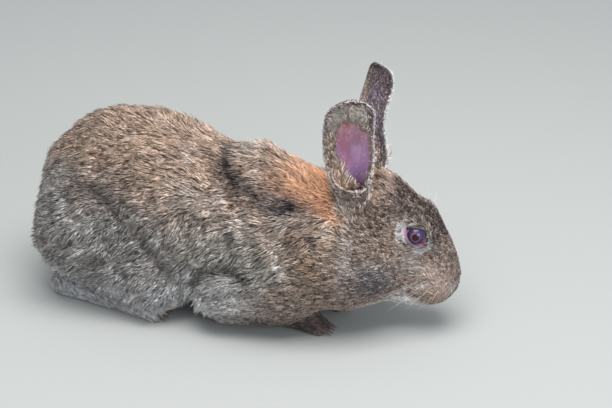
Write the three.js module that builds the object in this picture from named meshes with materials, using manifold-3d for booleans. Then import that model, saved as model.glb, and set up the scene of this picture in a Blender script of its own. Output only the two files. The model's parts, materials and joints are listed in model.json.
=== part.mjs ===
// A life-size domestic rabbit in a grazing crouch: rump high, nose down, ears up.
// Millimetres, +Z up, +X towards the nose, -Y the animal's right side. The sizes run to the tips of the coat.
//
// The body is one soft field of blended forms (rump, loin, chest, skull, cheeks and so on). A sleeve of rings
// is cast outwards from a spine onto that field, and the closed sleeve is then parted by thin cuts.

import * as THREE from "three";
import { mergeVertices } from "three/addons/utils/BufferGeometryUtils.js";
import Module from "manifold-3d";

// ---------------------------------------------------------------- driving dimensions

const TURN = Math.PI / 180;

const TRUNK_HEADING = -23 * TURN; // the trunk points a little to the animal's right of the head
const HEAD_HEADING = -14 * TURN;
const HEAD_PITCH = 40 * TURN; // nose down
const SHOULDER = [15, 0, 0]; // the floor point below the shoulders, where the trunk's frame stands
const BROW = [90, -4, 95]; // the middle of the skull between the eyes, where the head's frame stands

const CUT = 0.3; // the gap between two neighbouring pieces
const AROUND = 28; // points on each ring of the body
const TRUNK_STEP = 15.5; // spacing of the rings along the trunk
const HEAD_STEP = 6; // and along the head

const EYE_RADIUS = 9.5;
const EYE_CENTRE = [4.5, 19.5, 6]; // the left eyeball in the head's frame

const EAR_LENGTH = 99;
const EAR_WIDTH = 41.6;
const EAR_THICKNESS = 3.2;
const EAR_SPACING = 21; // ear root from the middle of the head

const HIND_FOOT_LENGTH = 112;
const HIND_FOOT_WIDTH = 27;
const PAW_WIDTH = 24;
const CLAW_LENGTH = 4; // the part that shows past the toe
const CLAW_DROP = 4.5; // how far its tip curves down

const COAT_BROWN = 0x8f7c6e;
const COAT_GREY = 0x8a8680;
const EAR_SKIN = 0x9a7f86;
const EYE_BROWN = 0x2a1613;
const CLAW_HORN = 0x5b4c42;
const TAIL_WHITE = 0xcfc8bd;

// ---------------------------------------------------------------- manifold helpers

const wasm = await Module();
wasm.setup();

/** A solid from a closed three.js geometry. */
function solidFrom(geometry) {
  const bare = geometry.clone();
  bare.deleteAttribute("normal");
  bare.deleteAttribute("uv");
  const merged = mergeVertices(bare, 1e-4);
  const mesh = new wasm.Mesh({
    numProp: 3,
    vertProperties: merged.attributes.position.array,
    triVerts: new Uint32Array(merged.index.array),
  });
  return new wasm.Manifold(mesh);
}

/** A three.js geometry from a solid. */
function geometryFrom(solid) {
  const mesh = solid.getMesh();
  const geometry = new THREE.BufferGeometry();
  geometry.setAttribute("position", new THREE.BufferAttribute(mesh.vertProperties, 3));
  geometry.setIndex(new THREE.BufferAttribute(mesh.triVerts, 1));
  geometry.computeVertexNormals();
  return geometry;
}

// ---------------------------------------------------------------- frames

const trunkFrame = new THREE.Matrix4()
  .makeTranslation(...SHOULDER)
  .multiply(new THREE.Matrix4().makeRotationZ(TRUNK_HEADING));

const headFrame = new THREE.Matrix4()
  .makeTranslation(...BROW)
  .multiply(new THREE.Matrix4().makeRotationZ(HEAD_HEADING))
  .multiply(new THREE.Matrix4().makeRotationY(HEAD_PITCH));

/** A point given in a frame, as a world point. */
function inFrame(frame, x, y, z) {
  return new THREE.Vector3(x, y, z).applyMatrix4(frame);
}

// ---------------------------------------------------------------- the soft field

// Each form is a function of a world point that is negative inside and grows roughly as distance outside.

/** An ellipsoid: its centre and half sizes in a frame, tipped nose-down by pitch. */
function egg(frame, at, half, pitch = 0) {
  const place = frame
    .clone()
    .multiply(new THREE.Matrix4().makeTranslation(...at))
    .multiply(new THREE.Matrix4().makeRotationY(pitch))
    .invert();
  const p = new THREE.Vector3();
  return (point) => {
    p.copy(point).applyMatrix4(place);
    const near = Math.hypot(p.x / half[0], p.y / half[1], p.z / half[2]);
    const steep = Math.hypot(p.x / half[0] ** 2, p.y / half[1] ** 2, p.z / half[2] ** 2);
    return steep > 0 ? (near * (near - 1)) / steep : -Math.min(...half);
  };
}

/** A rounded taper from one ball to another, given in a frame. */
function limb(frame, from, fromRadius, to, toRadius) {
  const a = inFrame(frame, ...from);
  const b = inFrame(frame, ...to);
  const along = b.clone().sub(a);
  const p = new THREE.Vector3();
  return (point) => {
    p.copy(point).sub(a);
    const t = THREE.MathUtils.clamp(p.dot(along) / along.lengthSq(), 0, 1);
    const radius = THREE.MathUtils.lerp(fromRadius, toRadius, t);
    return p.addScaledVector(along, -t).length() - radius;
  };
}

/** Forms run together with a soft fillet. */
function blend(softness, ...forms) {
  return (point) =>
    forms.reduce((sum, form) => {
      const next = form(point);
      const overlap = Math.max(softness - Math.abs(sum - next), 0) / softness;
      return Math.min(sum, next) - (overlap * overlap * softness) / 4;
    }, 1e3);
}

/** The same form on the left and the right. */
function pair(make) {
  return [make(1), make(-1)];
}

const trunkForms = [
  egg(trunkFrame, [-172, 0, 88], [97, 74, 80]), // rump
  egg(trunkFrame, [-105, 0, 74], [90, 64, 72]), // loin and belly
  egg(trunkFrame, [-30, 0, 74], [64, 56, 66]), // rib cage and shoulders
  egg(trunkFrame, [-57, 0, 117], [31, 28, 42]), // loose skin of the scruff
  ...pair((side) => egg(trunkFrame, [-32, side * 38, 62], [46, 28, 46])), // shoulder muscle
];

const haunchForms = pair((side) =>
  limb(trunkFrame, [-208, side * 38, 66], 50, [-138, side * 50, 34], 30),
);

const elbowForms = pair((side) =>
  limb(trunkFrame, [-70, side * 44, 34], 29, [-30, side * 34, 34], 26),
);

const neckForms = [
  limb(trunkFrame, [-6, 0, 79], 52, [28, 0, 70], 41),
  egg(trunkFrame, [22, 0, 63], [30, 42, 40]), // throat and chest ruff
];

const headForms = [
  egg(headFrame, [-28, 0, -8], [39, 29, 32.5]), // skull
  limb(headFrame, [5, 0, 1], 22.5, [45, 0, -11], 17), // bridge of the nose
  ...pair((side) => limb(headFrame, [8, side * 9, -18], 18, [42, side * 8, -22], 14.5)), // side of the face
  ...pair((side) => egg(headFrame, [49, side * 11, -24], [18, 14, 14.5])), // whisker pads
  egg(headFrame, [56, 0, -17], [11, 9, 10]), // nose
  ...pair((side) => limb(headFrame, [15, side * 11, -48], 22, [36, side * 7, -43.5], 14.5)), // lower jaw
  ...pair((side) => limb(headFrame, [36, side * 7, -43.5], 14.5, [52, side * 4, -36], 11)), // chin
  ...pair((side) => egg(headFrame, [-8, side * 14, -34], [39, 19, 33])), // cheeks
  ...pair((side) => egg(headFrame, [2, side * 13, 6], [16, 12.5, 12])), // socket and brow
  limb(headFrame, [-46, 15, -14], 14, [-52, 21, -4], 11.5), // base of the left ear
  limb(headFrame, [-48, -15, -22], 14, [-52, -20, -11], 11.5), // base of the right ear
];

const bodyField = blend(
  14,
  blend(26, ...trunkForms),
  blend(8, ...haunchForms),
  blend(8, ...elbowForms),
  blend(24, ...neckForms),
  blend(10, ...headForms),
);

// ---------------------------------------------------------------- sleeves cast onto a field

/** How far a ray runs from a point inside a field before it leaves it. */
function reach(field, origin, direction) {
  const coarseStep = 2;
  const probe = new THREE.Vector3();
  let outer = coarseStep;
  while (field(probe.copy(origin).addScaledVector(direction, outer)) < 0) {
    outer += coarseStep;
  }
  let inner = outer - coarseStep;
  for (let halving = 0; halving < 18; halving++) {
    const middle = (inner + outer) / 2;
    if (field(probe.copy(origin).addScaledVector(direction, middle)) < 0) {
      inner = middle;
    } else {
      outer = middle;
    }
  }
  return outer;
}

/** A closed geometry from rings of points between two end points. */
function skinOfRings(startPole, rings, endPole) {
  const around = rings[0].length;
  const points = [startPole, ...rings.flat(), endPole];
  const last = points.length - 1;
  const faces = [];
  const at = (ring, step) => 1 + ring * around + (step % around);
  for (let step = 0; step < around; step++) {
    faces.push(0, at(0, step + 1), at(0, step));
    for (let ring = 0; ring < rings.length - 1; ring++) {
      faces.push(at(ring, step), at(ring, step + 1), at(ring + 1, step));
      faces.push(at(ring + 1, step), at(ring, step + 1), at(ring + 1, step + 1));
    }
    faces.push(last, at(rings.length - 1, step), at(rings.length - 1, step + 1));
  }
  const geometry = new THREE.BufferGeometry().setFromPoints(points);
  geometry.setIndex(faces);
  return geometry;
}

/**
 * A closed sleeve: rings cast outwards from a spine onto a field, with a round cap past each end.
 * At a share of the spine's length, stepAt gives the spacing of the rings and forwardAt the way they face.
 * grow moves the sleeve outwards.
 */
function sleeve(field, spine, { around, stepAt, capRings, forwardAt, grow = 0 }) {
  const up = new THREE.Vector3(0, 0, 1);
  const length = spine.getLength();

  const cast = (share, lean) => {
    const origin = spine.getPointAt(share);
    const forward = forwardAt(share);
    const left = new THREE.Vector3().crossVectors(up, forward).normalize();
    const dorsal = new THREE.Vector3().crossVectors(forward, left);
    const ring = [];
    for (let step = 0; step < around; step++) {
      const angle = (step / around) * 2 * Math.PI;
      const direction = left
        .clone()
        .multiplyScalar(Math.cos(angle) * Math.cos(lean))
        .addScaledVector(dorsal, Math.sin(angle) * Math.cos(lean))
        .addScaledVector(forward, Math.sin(lean));
      ring.push(origin.clone().addScaledVector(direction, reach(field, origin, direction) + grow));
    }
    return ring;
  };
  const pole = (share, sign) => {
    const origin = spine.getPointAt(share);
    const direction = forwardAt(share).multiplyScalar(sign);
    return origin.clone().addScaledVector(direction, reach(field, origin, direction) + grow);
  };

  const leans = Array.from({ length: capRings }, (_, i) => ((i + 1) / (capRings + 1)) * (Math.PI / 2));
  const rings = [];
  for (const lean of [...leans].reverse()) {
    rings.push(cast(0, -lean));
  }
  for (let along = 0; along < length; along += stepAt(along / length)) {
    rings.push(cast(along / length, 0));
  }
  rings.push(cast(1, 0));
  for (const lean of leans) {
    rings.push(cast(1, lean));
  }
  return skinOfRings(pole(0, -1), rings, pole(1, 1));
}

/** A sleeve along a straight line. */
function straightSleeve(field, line, step, grow) {
  const forwardAt = () => line.v2.clone().sub(line.v1).normalize();
  return sleeve(field, line, { around: 12, stepAt: () => step, capRings: 3, forwardAt, grow });
}

// ---------------------------------------------------------------- cutters

/** Everything ahead of a plane with a unit normal, as a box far larger than the animal. */
function aheadOf(point, normal) {
  const side = 1200;
  const box = new THREE.BoxGeometry(side, side, side);
  box.translate(0, 0, side / 2);
  const up = new THREE.Vector3(0, 0, 1);
  box.applyQuaternion(new THREE.Quaternion().setFromUnitVectors(up, normal));
  box.translate(point.x, point.y, point.z);
  return solidFrom(box);
}

/** An ellipsoid cutter in a frame. */
function eggCutter(frame, at, half, pitch, grow) {
  const ball = new THREE.SphereGeometry(1, 12, 8);
  ball.scale(half[0] + grow, half[1] + grow, half[2] + grow);
  ball.rotateY(pitch);
  ball.translate(...at);
  ball.applyMatrix4(frame);
  return solidFrom(ball);
}

// ---------------------------------------------------------------- whole body

const spine = new THREE.CatmullRomCurve3([
  inFrame(trunkFrame, -180, 0, 84),
  inFrame(trunkFrame, -110, 0, 84),
  inFrame(trunkFrame, -40, 0, 84),
  inFrame(trunkFrame, 10, 0, 84),
  inFrame(headFrame, -36, 0, -38),
  inFrame(headFrame, 0, 0, -28),
  inFrame(headFrame, 42, 0, -23),
]);

const HEAD_SHARE = 0.72; // the share of the spine where the rings of the head begin

function bodyStep(share) {
  const blendIn = THREE.MathUtils.smoothstep(share, HEAD_SHARE - 0.2, HEAD_SHARE);
  return THREE.MathUtils.lerp(TRUNK_STEP, HEAD_STEP, blendIn);
}

/** The rings turn slowly from the trunk's heading to the head's, so that none crosses its neighbour. */
function bodyForward(share) {
  const turned = THREE.MathUtils.smoothstep(share, 0.35, 0.95);
  const pitch = HEAD_PITCH * turned;
  const heading = THREE.MathUtils.lerp(TRUNK_HEADING, HEAD_HEADING, turned);
  return new THREE.Vector3(
    Math.cos(pitch) * Math.cos(heading),
    Math.cos(pitch) * Math.sin(heading),
    -Math.sin(pitch),
  );
}

function wholeBody(grow = 0) {
  const settings = { around: AROUND, stepAt: bodyStep, capRings: 6, forwardAt: bodyForward, grow };
  return solidFrom(sleeve(bodyField, spine, settings));
}

// ---------------------------------------------------------------- feet

const FLOOR = aheadOf(new THREE.Vector3(0, 0, 0), new THREE.Vector3(0, 0, 1));

const TOE_RANKS = [-1.5, -0.5, 0.5, 1.5]; // four toes side by side, counted from the middle

/** How far a toe stands from the middle of its foot. */
function toeSpread(rank, width, toeRadius) {
  return (rank / 3) * (width - 2 * toeRadius);
}

/** A foot or forearm: a sleeve along a straight spine, with toes at its end, flat where it stands. */
function foot(side, { from, fromRadius, to, toRadius, toeLength, toeRadius, width }, grow) {
  const mirror = ([x, y, z]) => [x, side * y, z];
  const toes = TOE_RANKS.map((rank) => {
    const spread = toeSpread(rank, width, toeRadius);
    const tip = toeLength - Math.abs(rank) * 2.5;
    return limb(
      trunkFrame,
      mirror([to[0] - 4, to[1] + spread * 0.8, to[2]]),
      toeRadius,
      mirror([to[0] + tip, to[1] + spread, toeRadius * 0.8]),
      toeRadius,
    );
  });
  const shaft = limb(trunkFrame, mirror(from), fromRadius, mirror(to), toRadius);
  const field = blend(5, shaft, blend(1.5, ...toes));
  const line = new THREE.LineCurve3(
    inFrame(trunkFrame, ...mirror(from)),
    inFrame(trunkFrame, ...mirror([to[0] + toeLength * 0.5, to[1], to[2] * 0.8])),
  );
  return solidFrom(straightSleeve(field, line, 13, grow)).intersect(FLOOR);
}

const HEEL = -232; // the middle of the heel, behind the shoulders

const hindFootSizes = {
  from: [HEEL, 47, 11.5],
  fromRadius: 13,
  to: [HEEL + HIND_FOOT_LENGTH - 28, 55, 8.5],
  toRadius: 10,
  toeLength: 17,
  toeRadius: 5.5,
  width: HIND_FOOT_WIDTH,
};

const forePawSizes = {
  from: [-58, 42, 30],
  fromRadius: 16,
  to: [-4, 22, 9.5],
  toRadius: 11,
  toeLength: 15,
  toeRadius: 5,
  width: PAW_WIDTH,
};

/** The part of the body inside the haunch, and the same for the elbow: centre, half sizes and tip. */
const haunchSizes = { at: [-186, 66, 50], half: [76, 44, 52], pitch: 28 * TURN };
const elbowSizes = { at: [-62, 56, 32], half: [42, 34, 30], pitch: 6 * TURN };

function regionOf(side, { at, half, pitch }, grow) {
  return eggCutter(trunkFrame, [at[0], side * at[1], at[2]], half, pitch, grow);
}

// ---------------------------------------------------------------- ears

/**
 * An ear as a cupped sheet: nearly a closed tube at its root, open and spoon-shaped above, round at the tip.
 * axis is the way it points and facing the way its opening looks. outerEdge is 1 or -1: near the root the
 * opening turns away from that edge. sway bends the middle towards that edge, lean bends the tip forwards.
 */
function ear({ root, axis, facing, outerEdge, sway, lean }) {
  const rootPoint = inFrame(headFrame, ...root);
  const lengthwise = new THREE.Vector3(...axis).normalize();
  const open = new THREE.Vector3(...facing);
  open.addScaledVector(lengthwise, -open.dot(lengthwise)).normalize();
  const across = new THREE.Vector3().crossVectors(open, lengthwise);

  const sections = 15;
  const arcSteps = 6;
  const rootHalf = 11.5;
  const widest = 0.5;
  const tipStart = 0.81;
  const passed = (u, from, to) => THREE.MathUtils.smoothstep(u, from, to);
  const halfWidthAt = (u) => {
    const spread = THREE.MathUtils.lerp(rootHalf, EAR_WIDTH / 2, passed(u, 0.05, widest));
    const round = u < tipStart ? 1 : (1 - ((u - tipStart) / (1 - tipStart)) ** 2.5) ** (1 / 2.5);
    return spread * round;
  };
  const rolledAt = (u) => 1 - passed(u, 0.06, 0.34); // 1 where the sheet is a tube
  const halfArcAt = (u) => {
    const cupped = 56 + 30 * (1 - passed(u, 0.2, 0.5)) - 34 * passed(u, 0.3, 0.7);
    return (cupped + 85 * rolledAt(u)) * TURN;
  };
  const turnAt = (u) => 64 * TURN * rolledAt(u) * outerEdge;
  const half = EAR_THICKNESS / 2;

  const rings = [];
  for (let section = 0; section < sections; section++) {
    const share = section / (sections - 1);
    const u = 0.997 * (1 - (1 - share) ** 1.25);
    const halfArc = halfArcAt(u);
    const radius = Math.max(halfWidthAt(u) / Math.sin(Math.min(halfArc, Math.PI / 2)), half * 1.2);
    const bow = 3 * Math.sin(Math.PI * u) - lean * passed(u, 0.4, 1);
    const centre = rootPoint
      .clone()
      .addScaledVector(lengthwise, u * EAR_LENGTH)
      .addScaledVector(open, radius - bow - rootHalf)
      .addScaledVector(across, sway * outerEdge * Math.sin(Math.PI * u));
    const onArc = (angle, r) =>
      centre
        .clone()
        .addScaledVector(open, -Math.cos(angle) * r)
        .addScaledVector(across, Math.sin(angle) * r);
    const outer = [];
    const inner = [];
    for (let step = 0; step <= arcSteps; step++) {
      const angle = THREE.MathUtils.lerp(-halfArc, halfArc, step / arcSteps) + turnAt(u);
      outer.push(onArc(angle, radius + half));
      inner.push(onArc(angle, radius - half));
    }
    rings.push([...outer, ...inner.reverse()]);
  }
  const halfway = arcSteps / 2;
  const middle = (ring) => ring[halfway].clone().lerp(ring[ring.length - 1 - halfway], 0.5);
  const top = middle(rings[rings.length - 1]).addScaledVector(lengthwise, half);
  const bottom = middle(rings[0]).addScaledVector(lengthwise, -half);
  return solidFrom(skinOfRings(bottom, rings, top));
}

// ---------------------------------------------------------------- eyes, tail, claws

function eyeball(side, grow = 0) {
  const ball = new THREE.SphereGeometry(EYE_RADIUS + grow, 12, 8);
  ball.translate(EYE_CENTRE[0], side * EYE_CENTRE[1], EYE_CENTRE[2]);
  ball.applyMatrix4(headFrame);
  return solidFrom(ball);
}

/** The scut: a short, broad tail lying down against the rump. */
function tailForm(grow = 0) {
  const field = egg(trunkFrame, [-259, 0, 50], [14, 21, 27], 24 * TURN);
  const line = new THREE.LineCurve3(inFrame(trunkFrame, -257, 0, 62), inFrame(trunkFrame, -263, 0, 40));
  return solidFrom(straightSleeve(field, line, 8, grow));
}

/** The claws of one foot, a short curved cone from each toe, clear of the foot they grow from. */
function clawsOf(side, { to, toeLength, toeRadius, width }, grownFoot) {
  const steps = 2;
  const around = 5;
  const rootRadius = 2;
  return TOE_RANKS.map((rank) => {
    const start = [to[0] + toeLength * 0.4, to[1] + toeSpread(rank, width, toeRadius), toeRadius + 1.5];
    const clawReach = toeLength * 0.6 + toeRadius + CLAW_LENGTH;
    const rings = [];
    for (let step = 0; step <= steps; step++) {
      const share = step / (steps + 0.5);
      const radius = rootRadius * (1 - share * 0.7);
      const x = start[0] + clawReach * share;
      const z = start[2] - CLAW_DROP * share * share;
      const ring = [];
      for (let turn = 0; turn < around; turn++) {
        const angle = side * (turn / around) * 2 * Math.PI;
        const y = start[1] + radius * Math.cos(angle);
        ring.push(inFrame(trunkFrame, x, side * y, z + radius * Math.sin(angle)));
      }
      rings.push(ring);
    }
    const root = inFrame(trunkFrame, start[0], side * start[1], start[2]);
    const tip = inFrame(trunkFrame, start[0] + clawReach, side * start[1], start[2] - CLAW_DROP);
    return solidFrom(skinOfRings(root, rings, tip)).subtract(grownFoot);
  });
}

// ---------------------------------------------------------------- parting

const sides = [
  { name: "left", side: 1 },
  { name: "right", side: -1 },
];

// Each ear swivels on its own: where its root lies in the head's frame, the way it points, the way it looks.
const earSizes = {
  left: {
    root: [-52, EAR_SPACING, -1.8],
    axis: [0.115, 0.1, 1],
    facing: [1, 0.52, 0],
    outerEdge: -1,
    sway: 0,
    lean: 6,
  },
  right: {
    root: [-52.5, -EAR_SPACING, -9.5],
    axis: [-0.035, -0.26, 1],
    facing: [0.06, -1, 0.1],
    outerEdge: 1,
    sway: 3,
    lean: 1,
  },
};

const neckPlane = {
  point: inFrame(trunkFrame, 8, 0, 90),
  normal: new THREE.Vector3(1, -0.25, 0.05).normalize(),
};
const headPlane = {
  point: new THREE.Vector3(38, 0, 80),
  normal: new THREE.Vector3(1, -0.14, 0.17).normalize(),
};

/** The half space ahead of a parting plane, moved on by the cut. */
function ahead({ point, normal }, offset) {
  return aheadOf(point.clone().addScaledVector(normal, offset), normal);
}

const body = wholeBody().intersect(FLOOR);
const bodyGrown = wholeBody(CUT);

const pieces = new Map();
let rest = body;
const limbSizes = { hind: hindFootSizes, fore: forePawSizes };
for (const { name, side } of sides) {
  const haunch = body.intersect(regionOf(side, haunchSizes, 0));
  const elbow = body.intersect(regionOf(side, elbowSizes, 0));
  pieces.set(`hindleg_${name}`, haunch.add(foot(side, hindFootSizes, 0)));
  pieces.set(`foreleg_${name}`, elbow.add(foot(side, forePawSizes, 0)));
  rest = rest
    .subtract(regionOf(side, haunchSizes, CUT))
    .subtract(foot(side, hindFootSizes, CUT))
    .subtract(regionOf(side, elbowSizes, CUT))
    .subtract(foot(side, forePawSizes, CUT))
    .subtract(eyeball(side, CUT));
}
rest = rest.subtract(tailForm(CUT));

pieces.set("trunk", rest.subtract(ahead(neckPlane, 0)));
pieces.set("neck", rest.intersect(ahead(neckPlane, CUT)).subtract(ahead(headPlane, 0)));
pieces.set("head", rest.intersect(ahead(headPlane, CUT)));
pieces.set("tail", tailForm());
for (const { name, side } of sides) {
  for (const [limbName, sizes] of Object.entries(limbSizes)) {
    clawsOf(side, sizes, foot(side, sizes, CUT)).forEach((solid, toe) => {
      pieces.set(`claw_${limbName}_${name}_${toe + 1}`, solid);
    });
  }
  pieces.set(`eye_${name}`, eyeball(side));
  pieces.set(`ear_${name}`, ear(earSizes[name]).subtract(bodyGrown));
}

const finishes = {
  trunk: [COAT_BROWN, 0.85],
  neck: [COAT_BROWN, 0.85],
  head: [COAT_BROWN, 0.85],
  hindleg: [COAT_GREY, 0.85],
  foreleg: [COAT_GREY, 0.85],
  tail: [TAIL_WHITE, 0.85],
  ear: [EAR_SKIN, 0.7],
  eye: [EYE_BROWN, 0.1],
  claw: [CLAW_HORN, 0.5],
};

const group = new THREE.Group();
for (const [name, solid] of pieces) {
  const [color, roughness] = finishes[name.split("_")[0]];
  const mesh = new THREE.Mesh(
    geometryFrom(solid),
    new THREE.MeshStandardMaterial({ color, roughness, metalness: 0 }),
  );
  mesh.name = name;
  group.add(mesh);
}

// The origin goes to the floor, below the middle of the whole animal.
const bounds = new THREE.Box3().setFromObject(group);
const middle = bounds.getCenter(new THREE.Vector3());
group.position.set(-middle.x, -middle.y, -bounds.min.z);

export default group;
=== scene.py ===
# %% [markdown]
# # A crouching rabbit
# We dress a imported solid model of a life-size domestic rabbit. The solids reach to the tips of the coat,
# so the lesson builds the animal the other way round: first the bare skin inside them, then well over a
# hundred thousand small locks of fur that grow from the skin back out to the solids, then eyes, ears,
# claws and whiskers. Everything is in metres, in the model's own frame: +X towards the nose, +Y the
# animal's left, +Z up.

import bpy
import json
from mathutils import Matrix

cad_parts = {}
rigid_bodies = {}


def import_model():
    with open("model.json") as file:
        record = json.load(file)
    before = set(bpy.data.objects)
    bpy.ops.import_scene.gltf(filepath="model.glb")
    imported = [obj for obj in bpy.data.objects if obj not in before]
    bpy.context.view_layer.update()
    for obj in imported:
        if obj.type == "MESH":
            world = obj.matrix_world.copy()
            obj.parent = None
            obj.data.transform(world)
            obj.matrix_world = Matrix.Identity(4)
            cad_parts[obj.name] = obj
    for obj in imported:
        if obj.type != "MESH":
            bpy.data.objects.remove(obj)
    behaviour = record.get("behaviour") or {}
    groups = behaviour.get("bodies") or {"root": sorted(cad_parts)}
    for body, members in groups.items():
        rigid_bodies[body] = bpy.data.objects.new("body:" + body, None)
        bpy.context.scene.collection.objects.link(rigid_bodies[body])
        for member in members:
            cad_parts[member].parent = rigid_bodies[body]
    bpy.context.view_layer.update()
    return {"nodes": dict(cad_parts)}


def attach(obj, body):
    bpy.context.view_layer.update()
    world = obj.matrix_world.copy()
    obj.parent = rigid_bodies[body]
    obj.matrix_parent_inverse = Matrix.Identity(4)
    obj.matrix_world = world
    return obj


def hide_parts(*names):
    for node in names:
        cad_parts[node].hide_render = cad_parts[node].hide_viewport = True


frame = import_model()
print("nodes in the frame:", len(frame["nodes"]))

# %% [markdown]
# Blender's `bpy` makes objects and materials, `bmesh` edits meshes, and `numpy` moves many thousand
# points at once. Python loops over single vertices would take minutes here, and array sums take a moment.

# %% The tools of this lesson
import json
import math

import bmesh
import bpy
import numpy as np
from mathutils import Vector
from mathutils.kdtree import KDTree

MM = 0.001  # sizes are said in millimetres, and become metres with this
print("a quick run with a coarser net and fewer locks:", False)


def fade(value, start, end):
    """0 at start, 1 at end, with a soft beginning and end. start may be the larger one."""
    share = np.clip((value - start) / (end - start), 0, 1)
    return share * share * (3 - 2 * share)


def unit(vectors):
    """The same directions with length 1."""
    return vectors / np.maximum(np.linalg.norm(vectors, axis=-1, keepdims=True), 1e-12)


WAVE_COUNT = 8
WAVE_SCALE = 2.6  # brings the sum of the waves back to about -1 to 1


def waves(points, length, seed):
    """Smooth made-up variation, mostly between -1 and 1, with bumps about as long as length (in metres)."""
    draw = np.random.default_rng(seed)
    ways = unit(draw.normal(size=(WAVE_COUNT, 3)))
    pitch = 2 * math.pi / length * draw.uniform(0.7, 1.5, WAVE_COUNT)
    start = draw.uniform(0, 2 * math.pi, WAVE_COUNT)
    return np.sin(points @ (ways * pitch[:, None]).T + start).sum(1) / WAVE_SCALE

# %% [markdown]
# A rabbit's trunk and head each have their own axes. Saying "12 mm ahead of the eye" is easy in the
# head's axes and hard in the room's, so a small class changes points between the two.

# %% Axes of the trunk and of the head
class Axes:
    """Axes in the animal: x to its nose, y to its left, z up its back. Local points are in millimetres."""

    def __init__(self, origin, heading, nose_down=0.0):
        turn = math.radians(heading)
        dip = math.radians(nose_down)
        about_z = np.array(
            [[math.cos(turn), -math.sin(turn), 0], [math.sin(turn), math.cos(turn), 0], [0, 0, 1]]
        )
        about_y = np.array(
            [[math.cos(dip), 0, math.sin(dip)], [0, 1, 0], [-math.sin(dip), 0, math.cos(dip)]]
        )
        self.origin = np.array(origin)
        self.turned = about_z @ about_y

    def local(self, points):
        """Points of the room in these axes."""
        return (points - self.origin) @ self.turned / MM

    def place(self, local):
        """The reverse of local."""
        return self.origin + np.asarray(local, float) @ self.turned.T * MM

    def seen(self, directions):
        """Directions of the room in these axes."""
        return directions @ self.turned

    def aim(self, directions):
        """The reverse of seen."""
        return np.asarray(directions, float) @ self.turned.T


TRUNK = Axes((0.06854, -0.05476, 0.0), heading=-23)
HEAD = Axes((0.14354, -0.05876, 0.095), heading=-14, nose_down=40)
print("the head stands", round(float(HEAD.origin[2]) / MM), "mm above the floor")

# %% [markdown]
# ## Camera, floor and light
# The camera looks down at 27 degrees from the animal's right side, with a long lens, as one would from a
# few steps away. The floor is one pale sheet. Light comes from a big soft box overhead, which draws the
# round back, with a weaker box low in front so that the shadow side keeps its colour, and from a pale
# sky.

# %% Camera
LOOK_AT = Vector((0.0535, -0.0548, 0.112))
CAMERA_DISTANCE = 1.5
CAMERA_ELEVATION = math.radians(27)
LENS = 103.8  # millimetres, on a sensor 36 mm wide


def add_camera():
    data = bpy.data.cameras.new("camera")
    data.lens = LENS
    data.sensor_width = 36
    camera = bpy.data.objects.new("camera", data)
    bpy.context.collection.objects.link(camera)
    back = Vector((0, -math.cos(CAMERA_ELEVATION), math.sin(CAMERA_ELEVATION)))
    camera.location = LOOK_AT + CAMERA_DISTANCE * back
    camera.rotation_euler = (math.pi / 2 - CAMERA_ELEVATION, 0, 0)
    bpy.context.scene.camera = camera
    return camera


print("camera at", [round(c, 3) for c in add_camera().location])

# %% Floor, sky and lamps
FLOOR_HALF = 6.0


def new_finish(name, roughness=0.5):
    """A new material, its node tree and its main shader."""
    material = bpy.data.materials.new(name)
    material.use_nodes = True
    shader = material.node_tree.nodes["Principled BSDF"]
    shader.inputs["Roughness"].default_value = roughness
    return material, material.node_tree, shader


def add_floor():
    mesh = bpy.data.meshes.new("floor")
    corners = [(x * FLOOR_HALF, y * FLOOR_HALF, 0) for x, y in ((-1, -1), (1, -1), (1, 1), (-1, 1))]
    mesh.from_pydata(corners, [], [(0, 1, 2, 3)])
    floor = bpy.data.objects.new("floor", mesh)
    bpy.context.collection.objects.link(floor)
    paper, _, shader = new_finish("floor_paper", 0.9)
    shader.inputs["Base Color"].default_value = (0.30, 0.31, 0.30, 1)
    mesh.materials.append(paper)


def add_lamp(name, location, aim, size, watts, color):
    data = bpy.data.lights.new(name, "AREA")
    data.shape = "RECTANGLE"
    data.size, data.size_y = size
    data.energy = watts
    data.color = color
    lamp = bpy.data.objects.new(name, data)
    bpy.context.collection.objects.link(lamp)
    lamp.location = location
    lamp.rotation_euler = (Vector(aim) - Vector(location)).to_track_quat("-Z", "Y").to_euler()


def add_sky(color, strength):
    world = bpy.data.worlds.new("studio")
    bpy.context.scene.world = world
    world.use_nodes = True
    background = world.node_tree.nodes["Background"]
    background.inputs["Color"].default_value = (*color, 1)
    background.inputs["Strength"].default_value = strength


add_floor()
add_sky((0.88, 0.93, 1.0), 0.78)
add_lamp("overhead_box", (0.1, -0.35, 1.5), (0, 0, 0.08), (1.4, 1.0), 40, (1.0, 0.985, 0.97))
add_lamp("front_box", (0.9, -1.5, 0.7), (0.05, 0, 0.1), (0.9, 0.7), 16, (0.93, 0.96, 1.0))
bpy.context.scene.view_settings.view_transform = "Standard"
print("floor, sky and two lamps stand")

# %% [markdown]
# ## The skin
# The flesh of the model comes in pieces with thin gaps between them. A living rabbit has one skin, so the
# pieces are swollen by a hair, welded by a voxel remesh, and smoothed until the flat facets of the solids
# are gone. A voxel remesh turns any closed shapes into one even net, which is just what fur wants to grow
# from.

# %% One net around all the flesh
FLESH = ["trunk", "neck", "head", "tail", "hindleg_left", "hindleg_right", "foreleg_left", "foreleg_right"]
EYES = ["eye_left", "eye_right"]
SWELL = 0.35 * MM
VOXEL = 2.4 * MM  # the width of one cell of the net


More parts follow.
